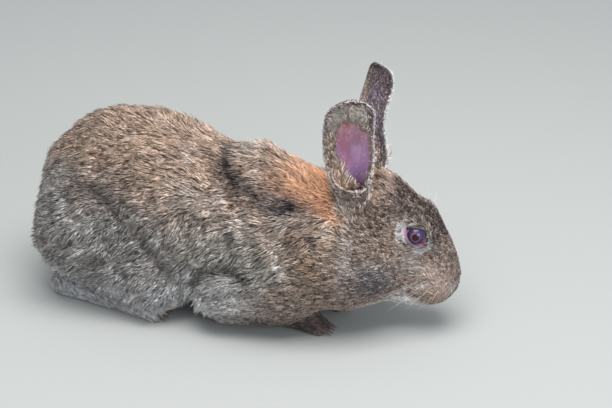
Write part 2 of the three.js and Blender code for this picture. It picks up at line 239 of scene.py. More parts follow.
def swollen_union(names):
    """One mesh that holds every named node, each pushed out by SWELL so that neighbours overlap."""
    union = bmesh.new()
    for name in names:
        piece = bmesh.new()
        piece.from_mesh(frame["nodes"][name].data)
        bmesh.ops.remove_doubles(piece, verts=piece.verts, dist=1e-6)
        bmesh.ops.recalc_face_normals(piece, faces=piece.faces)
        piece.normal_update()
        for vertex in piece.verts:
            vertex.co += vertex.normal * SWELL
        swollen = bpy.data.meshes.new(name)
        piece.to_mesh(swollen)
        piece.free()
        union.from_mesh(swollen)
        bpy.data.meshes.remove(swollen)
    mesh = bpy.data.meshes.new("union")
    union.to_mesh(mesh)
    union.free()
    return mesh


def voxel_net(mesh, voxel):
    """The mesh after a voxel remesh."""
    carrier = bpy.data.objects.new("carrier", mesh)
    bpy.context.collection.objects.link(carrier)
    remesh = carrier.modifiers.new("net", "REMESH")
    remesh.mode = "VOXEL"
    remesh.voxel_size = voxel
    ready = carrier.evaluated_get(bpy.context.evaluated_depsgraph_get())
    net = bpy.data.meshes.new_from_object(ready)
    bpy.data.objects.remove(carrier)
    bpy.data.meshes.remove(mesh)
    return net


def keep_largest_piece(mesh):
    """Drops every loose shell but the largest."""
    net = bmesh.new()
    net.from_mesh(mesh)
    unseen = set(net.verts)
    shells = []
    while unseen:
        front = [unseen.pop()]
        shell = list(front)
        while front:
            vertex = front.pop()
            for edge in vertex.link_edges:
                other = edge.other_vert(vertex)
                if other in unseen:
                    unseen.remove(other)
                    front.append(other)
                    shell.append(other)
        shells.append(shell)
    shells.sort(key=len)
    for shell in shells[:-1]:
        bmesh.ops.delete(net, geom=shell, context="VERTS")
    net.to_mesh(mesh)
    net.free()
    return len(shells)


skin_mesh = voxel_net(swollen_union(FLESH + EYES), VOXEL)
shell_count = keep_largest_piece(skin_mesh)
print("skin net:", len(skin_mesh.vertices), "points,", shell_count, "shell(s)")

# %% [markdown]
# Smoothing moves each point towards the middle of its neighbours. Done alone, it shrinks the body, so
# every step inwards is followed by a slightly larger step outwards. The toes are small and get only a
# little of it.

# %% Smooth the net
def read_points(mesh):
    points = np.empty(len(mesh.vertices) * 3)
    mesh.vertices.foreach_get("co", points)
    return points.reshape(-1, 3)


def write_points(mesh, points):
    mesh.vertices.foreach_set("co", np.ascontiguousarray(points).ravel())
    mesh.update()


def read_normals(mesh):
    normals = np.empty(len(mesh.vertices) * 3)
    mesh.vertex_normals.foreach_get("vector", normals)
    return normals.reshape(-1, 3)


def neighbour_pairs(mesh):
    pairs = np.empty(len(mesh.edges) * 2, np.int64)
    mesh.edges.foreach_get("vertices", pairs)
    pairs = pairs.reshape(-1, 2)
    return np.concatenate([pairs, pairs[:, ::-1]])


def neighbour_mean(values, pairs):
    """For each point, the mean of what its neighbours hold."""
    count = np.maximum(np.bincount(pairs[:, 0], minlength=len(values)), 1)
    columns = [np.bincount(pairs[:, 0], values[pairs[:, 1], k], len(values)) for k in range(values.shape[1])]
    return np.stack(columns, 1) / count[:, None]


STEP_OUT = 1.04  # how much larger each step outwards is than the step inwards before it


def relax(mesh, rounds, share):
    """Smooths the mesh and keeps its size. share is each point's step, from 0 to 1."""
    points = read_points(mesh)
    pairs = neighbour_pairs(mesh)
    share = np.broadcast_to(share, len(points))[:, None]
    for _ in range(rounds):
        points = points + share * (neighbour_mean(points, pairs) - points)
        points = points - STEP_OUT * share * (neighbour_mean(points, pairs) - points)
    write_points(mesh, points)


def smoothing_share(points):
    """How strongly each point is smoothed: less on the head, and very little on the feet."""
    on_head = fade(HEAD.local(points)[:, 0], -45, -15)
    off_foot = fade(points[:, 2], 0.012, 0.034)
    return (0.55 - 0.2 * on_head) * (0.12 + 0.88 * off_foot)


SMOOTH_ROUNDS = 72
relax(skin_mesh, SMOOTH_ROUNDS, smoothing_share(read_points(skin_mesh)))
print("rounds of smoothing:", SMOOTH_ROUNDS)

# %% [markdown]
# The face and the toes carry the smallest shapes. The net is made finer only there, so that the rest of
# the body stays light to work with. Splitting a face into four keeps the net even.

# %% A finer net on the face and the toes
def refine(mesh, wanted):
    """Splits each face whose points are all wanted into four."""
    net = bmesh.new()
    net.from_mesh(mesh)
    net.verts.ensure_lookup_table()
    faces = [face for face in net.faces if all(wanted[vertex.index] for vertex in face.verts)]
    edges = {edge for face in faces for edge in face.edges}
    bmesh.ops.subdivide_edges(net, edges=list(edges), cuts=1, use_grid_fill=True)
    net.to_mesh(mesh)
    net.free()


def fine_places(points):
    """True on the face and on the feet."""
    in_head = HEAD.local(points)
    face = (in_head[:, 0] > -22) & (in_head[:, 2] > -80)
    foot = points[:, 2] < 0.022
    return face | foot


refine(skin_mesh, fine_places(read_points(skin_mesh)))
relax(skin_mesh, 4, 0.4 * fine_places(read_points(skin_mesh)))
print("smooth skin net:", len(skin_mesh.vertices), "points")

# %% [markdown]
# ## How long the coat is
# The skin lies below the solids by the depth of the coat: about a millimetre on the nose and the feet,
# two or three on the face, six or seven on the body. The same function later says how high the fur
# stands, so that the coat's tips come back to the outline of the solids.

# %% Depth of the coat, in millimetres
def head_share(head, behind, ahead, slant):
    """0 on the neck and 1 on the head, for points in the head's axes. slant tilts the border between them."""
    return fade(head[:, 0] - slant * head[:, 2], behind, ahead)


def coat_depth(points):
    head = HEAD.local(points)
    trunk = TRUNK.local(points)
    body = 6.0 + 1.2 * fade(trunk[:, 2], 60, 30) * fade(trunk[:, 0], -150, -60)
    face = 1.1 + 1.3 * fade(head[:, 0], 45, 5) + 0.9 * fade(head[:, 0], -5, -35)
    jaw = 1.2 * fade(head[:, 2], -40, -62) * fade(head[:, 0], 50, 20)
    on_head = head_share(head, -50, -22, 0.25)
    depth = body + (face + jaw - body) * on_head
    off_foot = fade(points[:, 2], 0.012, 0.04)
    return depth * (0.22 + 0.78 * off_foot) * on_ground_share(points)


def on_ground_share(points):
    """Near 0 on the soles, which touch the floor, and 1 above them."""
    return 0.1 + 0.9 * fade(points[:, 2], 0.0, 0.006)


skin_points = read_points(skin_mesh)
skin_points = skin_points - read_normals(skin_mesh) * coat_depth(skin_points)[:, None] * MM
write_points(skin_mesh, skin_points)
relax(skin_mesh, 3, 0.5 * fade(skin_points[:, 2], 0.012, 0.034))
print("deepest coat:", round(float(coat_depth(skin_points).max()), 1), "mm")

# %% [markdown]
# ## Folds and features
# Loose skin lies in folds: a roll behind the neck, a crease in front of each haunch, one on the chest, one
# behind the cheek and one at the elbow. They could be carved by hand with a brush. Here each fold is a
# chain of points on the right side, in the trunk's axes, so it is easy to move and shows on both sides.
# The skin sinks along it, and later the coat is darkened there as painted shade. The same step raises
# soft puffs over the body, because a coat is never quite even.

# %% Folds
SCRUFF_LINE = [(-86, -8, 150), (-78, -30, 140), (-60, -36, 134), (-37, -44, 122), (-18, -41, 121)]
NAPE_LINE = [(-18, -41, 121), (-3, -33, 124), (8, -29, 122), (20, -24, 118)]
HAUNCH_LINE = [(-186, -68, 119), (-166, -71, 110), (-152, -74, 95), (-136, -73, 79), (-114, -69, 54)]
CHEST_LINE = [(-8, -47, 112), (1, -48, 107), (7, -47, 101), (12, -49, 92)]
CHEEK_LINE = [(34, -21, 110), (39, -27, 102), (42, -34, 93), (44, -42, 78)]
ELBOW_LINE = [(-96, -58, 42), (-88, -60, 56), (-70, -64, 66), (-46, -64, 62)]
TRUNK_FOLDS = {  # name: (width, depth, points), in millimetres
    "scruff": (4.0, 6.0, SCRUFF_LINE),
    "nape": (3.5, 4.6, NAPE_LINE),
    "haunch": (5.0, 5.0, HAUNCH_LINE),
    "chest": (3.2, 4.2, CHEST_LINE),
    "cheek": (4.0, 4.6, CHEEK_LINE),
    "elbow": (5.0, 5.5, ELBOW_LINE),
}


def right_side(local):
    """Local points with those of the left side mirrored to the right."""
    return np.column_stack([local[:, 0], -np.abs(local[:, 1]), local[:, 2]])


def distance_to_chain(points, chain):
    """The shortest distance from each point to a chain of straight stretches."""
    chain = np.asarray(chain, float)
    nearest = np.full(len(points), np.inf)
    for start, end in zip(chain[:-1], chain[1:]):
        along = end - start
        share = np.clip(((points - start) @ along) / (along @ along), 0, 1)
        nearest = np.minimum(nearest, np.linalg.norm(points - start - share[:, None] * along, axis=1))
    return nearest


def near_chain(points, chain, width):
    """1 on a chain, falling softly to 0 within about two widths of it."""
    return np.exp(-((distance_to_chain(points, chain) / width) ** 2))


def fold_shares(points, widen=1.0):
    """For each fold, how much of it each point feels, 1 at its bottom."""
    trunk = right_side(TRUNK.local(points))
    return {name: near_chain(trunk, chain, width * widen) for name, (width, _, chain) in TRUNK_FOLDS.items()}


def sculpt_folds(mesh):
    """Sinks the folds, raises a roll beside each, and gives the body soft puffs of fur."""
    points = read_points(mesh)
    normals = read_normals(mesh)
    shares = fold_shares(points)
    wide = fold_shares(points, widen=2.4)
    push = np.zeros(len(points))
    for name, (_, depth, _) in TRUNK_FOLDS.items():
        push += 0.45 * depth * (wide[name] - shares[name]) - depth * shares[name]
    puffs = 1.1 * waves(points, 0.055, 11) + 0.8 * waves(points, 0.024, 12) * fade(points[:, 2], 0.135, 0.105)
    push += puffs * fade(points[:, 2], 0.03, 0.07) * fade(coat_depth(points), 3, 5.5)
    write_points(mesh, points + normals * push[:, None] * MM)


sculpt_folds(skin_mesh)
print("folds on each side:", ", ".join(TRUNK_FOLDS))

# %% [markdown]
# The face is sculpted in the head's axes. Each touch is a soft egg-shaped push, out or in: the brow above
# the eye, the hollow before it, the whisker pads, the nostrils, the split lip. The eye lies in the middle
# of its own small dent, which the lids will close.

# %% The face
EYE_CENTRE = (4.5, 19.5, 6.0)
EYE_RADIUS = 9.5
FACE_TOUCHES = [  # (middle on the right side, half sizes, push outwards), in millimetres
    ((-2, -22, 16), (12, 6, 5), 0.6),  # brow
    ((24, -16, 2), (9, 7, 7), -1.3),  # hollow before the eye
    ((-4, -30, -10), (12, 8, 6), 0.9),  # cheekbone below the eye
    ((50, -16, -20), (9, 7, 8), 1.0),  # whisker pad
    ((38, -20, -40), (5, 7, 5), -0.8),  # corner of the mouth
    ((61.5, 0, -4), (5, 6, 4), 0.7),  # tip of the nose
    ((30, 0, 12), (17, 12, 9), 1.3),  # forehead
    ((57, 0, 1), (11, 9, 9), -2.0),  # bridge of the nose
    ((-14, -34, -36), (16, 10, 16), 1.2),  # chewing muscle
]
MOUTH = [(66, -1, -25), (62, -9, -29), (54, -16, -32), (45, -20, -37), (39, -23, -42)]
MOUTH_CREASE = [(37, -25, -42), (38, -26, -32), (39, -25, -18)]
LIP_SPLIT = [(65, 0, -11), (67, 0, -17), (67, 0, -26)]
NOSTRIL = [(64.5, -3.2, -9.5), (63.5, -6.5, -7.5), (60.5, -9.0, -8.5)]


FACE_CREASES = [  # (points, width, depth), in millimetres
    (MOUTH, 2.1, 2.8),
    (LIP_SPLIT, 1.6, 2.4),
    (NOSTRIL, 1.7, 3.2),
    (MOUTH_CREASE, 2.2, 1.1),
]


def soft_spot(local, middle, half):
    """1 in the middle of an egg-shaped place, falling softly to 0 around it."""
    return np.exp(-(np.linalg.norm((local - np.array(middle)) / np.array(half), axis=1) ** 2))


def sculpt_face(mesh):
    points = read_points(mesh)
    normals = read_normals(mesh)
    local = right_side(HEAD.local(points))
    push = np.zeros(len(points))
    for middle, half, height in FACE_TOUCHES:
        push += height * soft_spot(local, middle, half)
    for chain, width, depth in FACE_CREASES:
        push -= depth * near_chain(local, chain, width)
    lip_roll = np.exp(-(((distance_to_chain(local, MOUTH) - 3.2) / 1.8) ** 2))
    push += 0.45 * lip_roll * fade(local[:, 0], 36, 44)
    write_points(mesh, points + normals * push[:, None] * MM)


sculpt_face(skin_mesh)
print("soft touches on the face:", len(FACE_TOUCHES), "and creases:", len(FACE_CREASES))

# %% [markdown]
# Each ear grows out of the head as a tube. The skin of the head may not stand up inside that tube, so it
# is pushed down there. The fur around the root turns and runs up onto the ear, and for that the later
# steps ask how near each point is to a root.

# %% Where the ears stand
EARS = {  # root in the head's axes, in millimetres; axis and facing are directions in the room
    "left": {"root": (-52, 21, -1.8), "axis": (0.115, 0.1, 1), "facing": (1, 0.52, 0)},
    "right": {"root": (-52.5, -21, -9.5), "axis": (-0.035, -0.26, 1), "facing": (0.06, -1, 0.1)},
}
EAR_ROOT_HALF = 11.5


def ear_axes(name):
    """The root of an ear, and its lengthwise, facing and sideways directions."""
    lengthwise = unit(np.array(EARS[name]["axis"], float))
    facing = np.array(EARS[name]["facing"], float)
    facing = unit(facing - lengthwise * (facing @ lengthwise))
    return HEAD.place(EARS[name]["root"]), lengthwise, facing, np.cross(facing, lengthwise)


def seen_from_ear(points, name):
    """Millimetres of each point above an ear's root, and out from its axis."""
    root, lengthwise, _, _ = ear_axes(name)
    away = points - root
    above = away @ lengthwise
    return above / MM, np.linalg.norm(away - above[:, None] * lengthwise, axis=1) / MM


def near_ears(points):
    """How near each point is to the root of an ear, from 0 to 1, and the way that ear points."""
    share = np.zeros(len(points))
    way = np.zeros((len(points), 3))
    for name in EARS:
        above, out = seen_from_ear(points, name)
        own = fade(out, 25, 13) * fade(above, -26, -12)
        way += own[:, None] * ear_axes(name)[1]
        share = np.maximum(share, own)
    return share, way


def hollow_ears(mesh):
    """Pushes the skin of the head down inside the root of each ear."""
    points = read_points(mesh)
    for name in EARS:
        above, out = seen_from_ear(points, name)
        lowered = np.minimum(above, -9 + 9 * fade(out, 7.5, EAR_ROOT_HALF))
        lowered = np.where((out < EAR_ROOT_HALF) & (above > -20), lowered, above)
        points += (lowered - above)[:, None] * ear_axes(name)[1] * MM
    write_points(mesh, points)


hollow_ears(skin_mesh)
for name in EARS:
    print(f"the {name} ear starts", round(float(ear_axes(name)[0][2]) / MM), "mm above the floor")

# %% [markdown]
# An eye looks at the world through a slit in the shape of an almond. It is easiest to draw in two angles
# seen from the middle of the eyeball: how far forward and how far up a direction turns away from the line
# of sight. Outside the slit the skin is lifted clear of the ball, and inside it the skin is drawn back
# into the ball, where it cannot be seen.

# %% Angles at the eye
SLIT_REAR = (-63, -8)  # corners of the slit, in degrees forward and up from the line of sight
SLIT_FRONT = (76, -19)
SLIT_ABOVE = 64
SLIT_BELOW = 33


def eye_axes(side):
    """The middle of an eyeball, and its forward, upward and outward directions. side is -1 for the right."""
    middle = HEAD.place((EYE_CENTRE[0], side * EYE_CENTRE[1], EYE_CENTRE[2]))
    outward = unit(np.array([0.04, side, 0.2]))  # the line of sight, in the head's axes
    forward = unit(np.array([1, 0, 0]) - outward * outward[0])
    upward = side * np.cross(forward, outward)
    return middle, *(HEAD.aim(way) for way in (forward, upward, outward))


def angles_at_eye(points, side):
    """Degrees forward and up from the line of sight, and the distance in millimetres, of each point."""
    middle, forward, upward, outward = eye_axes(side)
    away = points - middle
    ahead, above, out = away @ forward, away @ upward, away @ outward
    off = np.maximum(np.hypot(ahead, above), 1e-9)
    turn = np.degrees(np.arctan2(off, out))
    return np.column_stack([turn * ahead / off, turn * above / off]), np.linalg.norm(away, axis=1) / MM


def point_at_eye(angles, radius, side):
    """The reverse of angles_at_eye."""
    middle, forward, upward, outward = eye_axes(side)
    turn = np.radians(np.maximum(np.linalg.norm(angles, axis=1, keepdims=True), 1e-6))
    way = np.radians(angles) / turn
    aimed = outward * np.cos(turn) + (forward * way[:, :1] + upward * way[:, 1:]) * np.sin(turn)
    return middle + aimed * np.asarray(radius)[:, None] * MM


print("the eyes are", 2 * EYE_CENTRE[1], "mm apart, middle to middle")

# %% Eye slits
def slit_outline(count=48):
    """The almond as a closed chain: along the upper lid from rear to front, and back along the lower one."""
    share = (1 - np.cos(np.linspace(0, math.pi, count // 2 + 1))) / 2
    line = np.array(SLIT_REAR) + (np.array(SLIT_FRONT) - SLIT_REAR) * share[:, None]
    forward = share**1.15
    above = SLIT_ABOVE * (4 * forward * (1 - forward)) ** 0.9
    below = SLIT_BELOW * (4 * share * (1 - share)) ** 0.6
    upper = line + np.column_stack([0 * share, above])
    lower = line - np.column_stack([0 * share, below])
    return np.concatenate([upper, lower[-2:0:-1]])


SLIT = slit_outline()
DEGREE_AT_EYE = EYE_RADIUS * math.pi / 180  # millimetres on the eyeball for one degree


def outside_slit(angles):
    """Millimetres from each direction to the edge of the slit, negative inside it."""
    closed = np.concatenate([SLIT, SLIT[:1]])
    distance = distance_to_chain(angles, closed) * DEGREE_AT_EYE
    half = len(SLIT) // 2
    upper = np.interp(angles[:, 0], SLIT[: half + 1, 0], SLIT[: half + 1, 1])
    lower = np.interp(angles[:, 0], closed[: half - 1 : -1, 0], closed[: half - 1 : -1, 1])
    inside = (angles[:, 1] < upper) & (angles[:, 1] > lower)
    inside &= (angles[:, 0] > SLIT_REAR[0]) & (angles[:, 0] < SLIT_FRONT[0])
    return np.where(inside, -distance, distance)


def corner_lift(angles):
    """How much farther the lids stand off the eyeball towards the front corner, in millimetres."""
    return 2.4 * fade(angles[:, 0], 45, 82)


LID_LIFT = 0.75  # how far the skin of the lids stands off the eyeball elsewhere, in millimetres


def open_eyes(mesh):
    points = read_points(mesh)
    for side in (-1, 1):
        angles, distance = angles_at_eye(points, side)
        outside = outside_slit(angles)
        near = (np.linalg.norm(angles, axis=1) < 115) & (distance < 17)
        lift = LID_LIFT + corner_lift(angles)
        over_ball = EYE_RADIUS + lift * fade(outside, 7.5, 3.0) - 2.5 * fade(outside, 4, 9)
        wanted = np.where(outside > 0.7, np.maximum(distance, over_ball), EYE_RADIUS - 1.2)
        wanted = np.where(near, wanted, distance)
        points = np.where(near[:, None], point_at_eye(angles, wanted, side), points)
    write_points(mesh, points)


open_eyes(skin_mesh)
skin_points = read_points(skin_mesh)
skin_points[:, 2] = np.maximum(skin_points[:, 2], 0)  # the soles end on the floor
write_points(skin_mesh, skin_points)
skin_mesh.polygons.foreach_set("use_smooth", np.ones(len(skin_mesh.polygons), bool))
skin_mesh.update()
print("skin triangles:", len(skin_mesh.loop_triangles) or 2 * len(skin_mesh.polygons))

# %% [markdown]
# ## Colours of the coat
# An agouti rabbit is brown on top, grey on the flanks and almost white below, with an orange nape. One
# function says how much of each zone a point of the body has. Parts of the zones are painted light and
# shade: dark in the folds and creases, on the throat, along the crest and at the forefeet, pale and dark
# patches for lit and shaded puffs, and a bluish cast on shaded sides. The skin and every lock of fur
# store its answer, so both carry the same markings, and one node group turns the zones into colour.

# %% Zones of colour
ZONES = ["nape", "flank", "belly", "fold", "tan", "pale", "dark", "blue"]
FOLD_RIDGE = [(-40, -50, 116), (-18, -48, 114), (4, -44, 116), (24, -34, 113)]
NECK_FRINGE = [(30, -24, 112), (33, -34, 96), (34, -44, 76), (30, -50, 60)]
CREST = [(-46, 0, 22), (-20, 0, 26), (5, 0, 24), (22, 0, 19)]
JAW_LINE = [(-34, -34, -58), (-4, -34, -68), (22, -22, -66), (46, -10, -54)]
LIP_LINE = [(34, -26, -38), (41, -24, -24), (47, -21, -16)]


def zone_shares(points, normals):
    """How much of each zone each point has, as a dictionary of numbers from 0 to 1."""
    trunk = right_side(TRUNK.local(points))
    head = right_side(HEAD.local(points))
    x, y, z = trunk.T
    blotch = waves(points, 0.03, 21)
    wander = 7 * waves(points, 0.06, 22)
    on_head = head_share(head, -48, -28, 0.2)
    on_body = 1 - on_head
    facing_down = fade(normals[:, 2], 0.1, -0.7)

    folds = fold_shares(points, widen=1.1)
    streak = 0.5 + 0.5 * waves(points, 0.009, 23)
    elbow = soft_spot(trunk, (-66, -64, 34), (38, 26, 28))
    zones = {}
    at_ear = near_ears(points)[0]
    zones["nape"] = fade(x + wander, -56, 0) * fade(x, 46, 28) * fade(y, -37, -28) * fade(z, 103, 116)
    zones["nape"] *= (1 - 0.9 * on_head) * (1 - 0.85 * at_ear)
    zones["flank"] = fade(z + wander + 0.12 * (x + 60), 122, 74) * on_body * (1 - 0.35 * fade(x, -10, 25))
    zones["belly"] = np.maximum(fade(z + wander, 56, 26), facing_down * fade(z, 70, 45)) * on_body
    zones["belly"] = np.maximum(zones["belly"], 0.75 * elbow)
    # painted shade: the coat is darkened along the bottom of each fold
    zones["fold"] = np.clip(1.25 * sum(folds.values()), 0, 1) * on_body
    tan = 0.95 * soft_spot(trunk, (16, -49, 88), (22, 18, 26)) + 0.3 * fade(z, 118, 150) * on_body
    cheek_tan = 0.25 * soft_spot(head, (-36, -34, 2), (14, 16, 14))
    cheek_tan += 0.45 * soft_spot(head, (-8, -40, -12), (14, 12, 9))
    zones["tan"] = np.clip(tan * (0.75 + 0.35 * blotch) + cheek_tan, 0, 1)

    eye_ring = np.zeros(len(points))
    for side in (-1, 1):
        angles, distance = angles_at_eye(points, side)
        width = 3.0 + 2.0 * fade(angles[:, 0], -10, -50) + 2.6 * fade(angles[:, 0], 30, 70)
        width = width + 0.7 * waves(points, 0.005, 24)
        strong = 1 - 0.5 * fade(angles[:, 1], 20, 45)
        eye_ring += strong * fade(outside_slit(angles), width + 1.2, width - 1.2) * (distance < 19)
    fringe = near_chain(trunk, NECK_FRINGE, 6) * 0.6 * streak
    ridge = near_chain(trunk, FOLD_RIDGE, 6) * 0.5 * streak
    jaw = near_chain(head, JAW_LINE, 11) * on_head * 0.85
    chin = fade(head[:, 2], -36, -50) * fade(head[:, 0], 20, 40) * on_head
    under_tail = fade(x, -246, -254) * fade(z, 72, 58) * fade(y, -26, -20)
    lip_light = 0.7 * near_chain(head, LIP_LINE, 2.2)
    muzzle = 0.65 * soft_spot(head, (61, -10, -15), (7, 8, 9))
    muzzle += 0.45 * soft_spot(head, (20, -28, -14), (14, 9, 8))
    tuft = 0.5 * soft_spot(trunk, (-70, -8, 157), (13, 22, 9))
    pale = 0.9 * eye_ring + fringe + ridge + jaw + chin + under_tail + lip_light + muzzle + tuft
    zones["pale"] = np.clip(pale, 0, 1)

    # painted shade: darker along the crest of the forehead
    crest = near_chain(head, CREST, 6.5) * fade(head[:, 0], -60, -30)
    # painted shade in the creases of the mouth and lips, and in the nostrils
    mouth_line = 0.9 * near_chain(head, MOUTH_CREASE, 2.0)
    mouth_line += near_chain(head, MOUTH, 1.8)
    mouth_line += 0.8 * near_chain(head, LIP_SPLIT, 1.4)
    nostril = 1.2 * near_chain(head, NOSTRIL, 2.0)
    # painted shade: a dark patch at the top of the haunch crease
    haunch_top = 0.85 * soft_spot(trunk, (-186, -67, 118), (21, 13, 7))
    # painted shade: darker towards the floor at the forefeet, under the chest
    paws = fade(points[:, 2], 0.03, 0.012) * fade(x, -60, -30) * 0.6
    # painted shade: darker along the step of the scruff fold
    scruff_step_shade = 0.5 * near_chain(trunk, SCRUFF_LINE, 9)
    crown = 0.5 * fade(head[:, 2] + 0.25 * head[:, 0], -8, 16) * on_head * (1 - eye_ring)
    behind_eye = 0.34 * soft_spot(head, (-26, -38, -8), (18, 16, 16))
    crown += (0.3 + behind_eye - 0.24 * fade(head[:, 0], 12, 40)) * on_head
    above_fold = 0.85 * soft_spot(trunk, (-26, -35, 131), (34, 11, 10)) * (0.6 + 0.6 * streak)
    # painted shade: darker on the throat and low chest, under the lowered head
    throat = 0.9 * fade(x, -30, 8) * fade(z, 84, 50) * on_body
    speckle = 0.7 + 0.6 * streak
    # darker fur on the head and ticking above the fold, with the painted shade of the throat
    dark_fur_and_throat_shade = np.maximum(crown + throat, 0) * speckle + above_fold
    dark = 0.9 * crest + haunch_top + paws + scruff_step_shade + mouth_line + nostril + dark_fur_and_throat_shade
    zones["dark"] = np.clip(dark, 0, 1)
    # painted shade: a bluish cast on the lower cheek and on the shaded rear flank
    lower_cheek = soft_spot(head, (0, -46, -40), (26, 22, 14)) * on_head
    zones["blue"] = np.clip(lower_cheek + 0.3 * zones["flank"] * fade(x, -80, -150), 0, 1)
    # painted light and shade: pale and dark patches stand for lit and shaded puffs of fur
    puff = waves(points, 0.022, 25) * on_body * fade(x, -190, -60)
    zones["pale"] = np.clip(zones["pale"] + 0.26 * fade(puff, 0.3, 1.2) * (1 - zones["nape"]), 0, 1)
    zones["dark"] = np.clip(zones["dark"] + 0.26 * fade(puff, -0.3, -1.2), 0, 1)
    return zones


def write_colour(mesh, name, columns):
    """Stores four numbers for each point of the mesh under a name."""
    made = mesh.attributes.new(name, "FLOAT_COLOR", "POINT")
    made.data.foreach_set("color", np.ascontiguousarray(np.stack(columns, 1), np.float32).ravel())


def write_zones(mesh, zones):
    """Stores the eight zones as two colours of four numbers."""
    for name, members in (("zones_a", ZONES[:4]), ("zones_b", ZONES[4:])):
        write_colour(mesh, name, [zones[member] for member in members])


print("zones of colour:", ", ".join(ZONES))

# %% [markdown]
# ## Fur as a material
# A material is a tree of nodes. The nodes could be placed by hand in the shader editor. Written as code,
# a node takes three lines each time, so a few helpers make, set and link one in a single call. A node
# group is a material's own tool with named sockets: here every group gives back colours and numbers only,
# and the main shader stays in the material.

# %% Helpers that build node trees
def add_node(tree, kind, inputs=None, **settings):
    """A node with its settings made. Each input named is set to a value or linked to another node."""
    node = tree.nodes.new(kind)
    for name, value in settings.items():
        setattr(node, name, value)
    for name, value in (inputs or {}).items():
        if isinstance(value, bpy.types.NodeSocket):
            tree.links.new(value, node.inputs[name])
        else:
            node.inputs[name].default_value = value
    return node


def calc(tree, operation, first, second=0.0):
    """One sum with numbers or sockets, such as ADD or MULTIPLY."""
    return add_node(tree, "ShaderNodeMath", {0: first, 1: second}, operation=operation).outputs[0]


def mix(tree, share, first, second, blend="MIX"):
    """Goes from the first colour to the second by share. A Mix node has its colours at sockets 6, 7 and 2."""
    inputs = {0: share, 6: first, 7: second}
    return add_node(tree, "ShaderNodeMix", inputs, data_type="RGBA", blend_type=blend).outputs[2]


def rescale(tree, value, low, high, to_low=0.0, to_high=1.0):
    """Softly moves a value from one range to another."""
    inputs = {"Value": value, "From Min": low, "From Max": high, "To Min": to_low, "To Max": to_high}
    return add_node(tree, "ShaderNodeMapRange", inputs, interpolation_type="SMOOTHSTEP").outputs["Result"]


def ramp(tree, value, stops):
    """A grey ramp through (place, brightness) stops."""
    node = add_node(tree, "ShaderNodeValToRGB", {"Fac": value})
    elements = node.color_ramp.elements
    while len(elements) < len(stops):
        elements.new(0.5)
    for element, (place, grey) in zip(elements, stops):
        element.position = place
        element.color = (grey, grey, grey, 1)
    return node.outputs["Color"]


def stored_numbers(tree, name):
    """What the mesh stores under a name: its first three numbers apart, and the sockets with all four."""
    stored = add_node(tree, "ShaderNodeAttribute", attribute_name=name).outputs
    return add_node(tree, "ShaderNodeSeparateColor", {"Color": stored["Color"]}).outputs, stored


def new_group(name, inputs, outputs):
    """A shader node group with named sockets: inputs are (name, kind, value), outputs are (name, kind)."""
    group = bpy.data.node_groups.new(name, "ShaderNodeTree")
    for label, kind, value in inputs:
        socket = group.interface.new_socket(name=label, in_out="INPUT", socket_type=kind)
        socket.default_value = value
    for label, kind in outputs:
        group.interface.new_socket(name=label, in_out="OUTPUT", socket_type=kind)
    return group, group.nodes.new("NodeGroupInput").outputs, group.nodes.new("NodeGroupOutput").inputs


def shade(red, green, blue):
    """A colour said in the usual 0 to 255 steps, as Blender's linear colour."""
    steps = np.array([red, green, blue]) / 255
    linear = np.where(steps <= 0.04045, steps / 12.92, ((steps + 0.055) / 1.055) ** 2.4)
    return (*[float(c) for c in linear], 1.0)


print("a middle grey of 128 is", round(shade(128, 128, 128)[0], 3), "in linear light")

# %% [markdown]
# A wild-coloured hair is banded: slate at the root, brown, then black, then a pale tip, and some hairs
# are black right to the tip. The bands could be painted on each lock, but there are far too many. The
# mesh stores how far along its lock each point lies, and a ramp turns that number into a tone. Two
# numbers drawn for each lock and each clump decide which of two ramps is read, and how light the clump
# is.

# %% Node group: tone along a hair
TONE_TOP = 1.6  # a ramp ends at 1, so its values are divided by this and multiplied back
PALE_TIPPED = [(0.0, 0.2), (0.3, 0.5), (0.5, 0.84), (0.62, 0.42), (0.74, 1.25), (1.0, 1.6)]
BLACK_TIPPED = [(0.0, 0.2), (0.35, 0.64), (0.55, 0.58), (0.7, 0.22), (1.0, 0.12)]


def hair_tone_group():
    inputs = [(name, "NodeSocketFloat", 0.5) for name in ("Along", "Strand", "Clump")]
    inputs.append(("Black Tipped", "NodeSocketFloat", 0.42))
    outputs = [("Tone", "NodeSocketFloat"), ("Tip", "NodeSocketFloat")]
    group, given, result = new_group("hair_tone", inputs, outputs)
    scaled = [[(place, tone / TONE_TOP) for place, tone in stops] for stops in (PALE_TIPPED, BLACK_TIPPED)]
    pale, black = (ramp(group, given["Along"], stops) for stops in scaled)
    halves = [calc(group, "MULTIPLY", given[name], 0.5) for name in ("Strand", "Clump")]
    chance = calc(group, "ADD", *halves)
    is_pale = rescale(group, calc(group, "SUBTRACT", chance, given["Black Tipped"]), -0.04, 0.04)
    tone = calc(group, "MULTIPLY", mix(group, is_pale, black, pale), TONE_TOP)
    shuffled = calc(group, "FRACT", calc(group, "MULTIPLY", given["Clump"], 7.31))
    clump = rescale(group, shuffled, 0, 1, 0.66, 1.36)
    group.links.new(calc(group, "MULTIPLY", tone, clump), result["Tone"])
    at_tip = rescale(group, given["Along"], 0.7, 0.95)
    group.links.new(calc(group, "MULTIPLY", at_tip, is_pale), result["Tip"])
    return group


HAIR_TONE = hair_tone_group()
print("hair tone group:", len(HAIR_TONE.nodes), "nodes")

# %% [markdown]
# The markings are the coat's map of colours. An image wrapped around the animal could hold them, but
# every lock would need a place on it. Here the zones stored in the mesh mix a handful of colours one over
# the other, the strongest marks last. The result is multiplied by the tone along the hair. Pale fur is
# calmer and has fewer black tips, and in the folds everything is darkened and duller as painted shade.

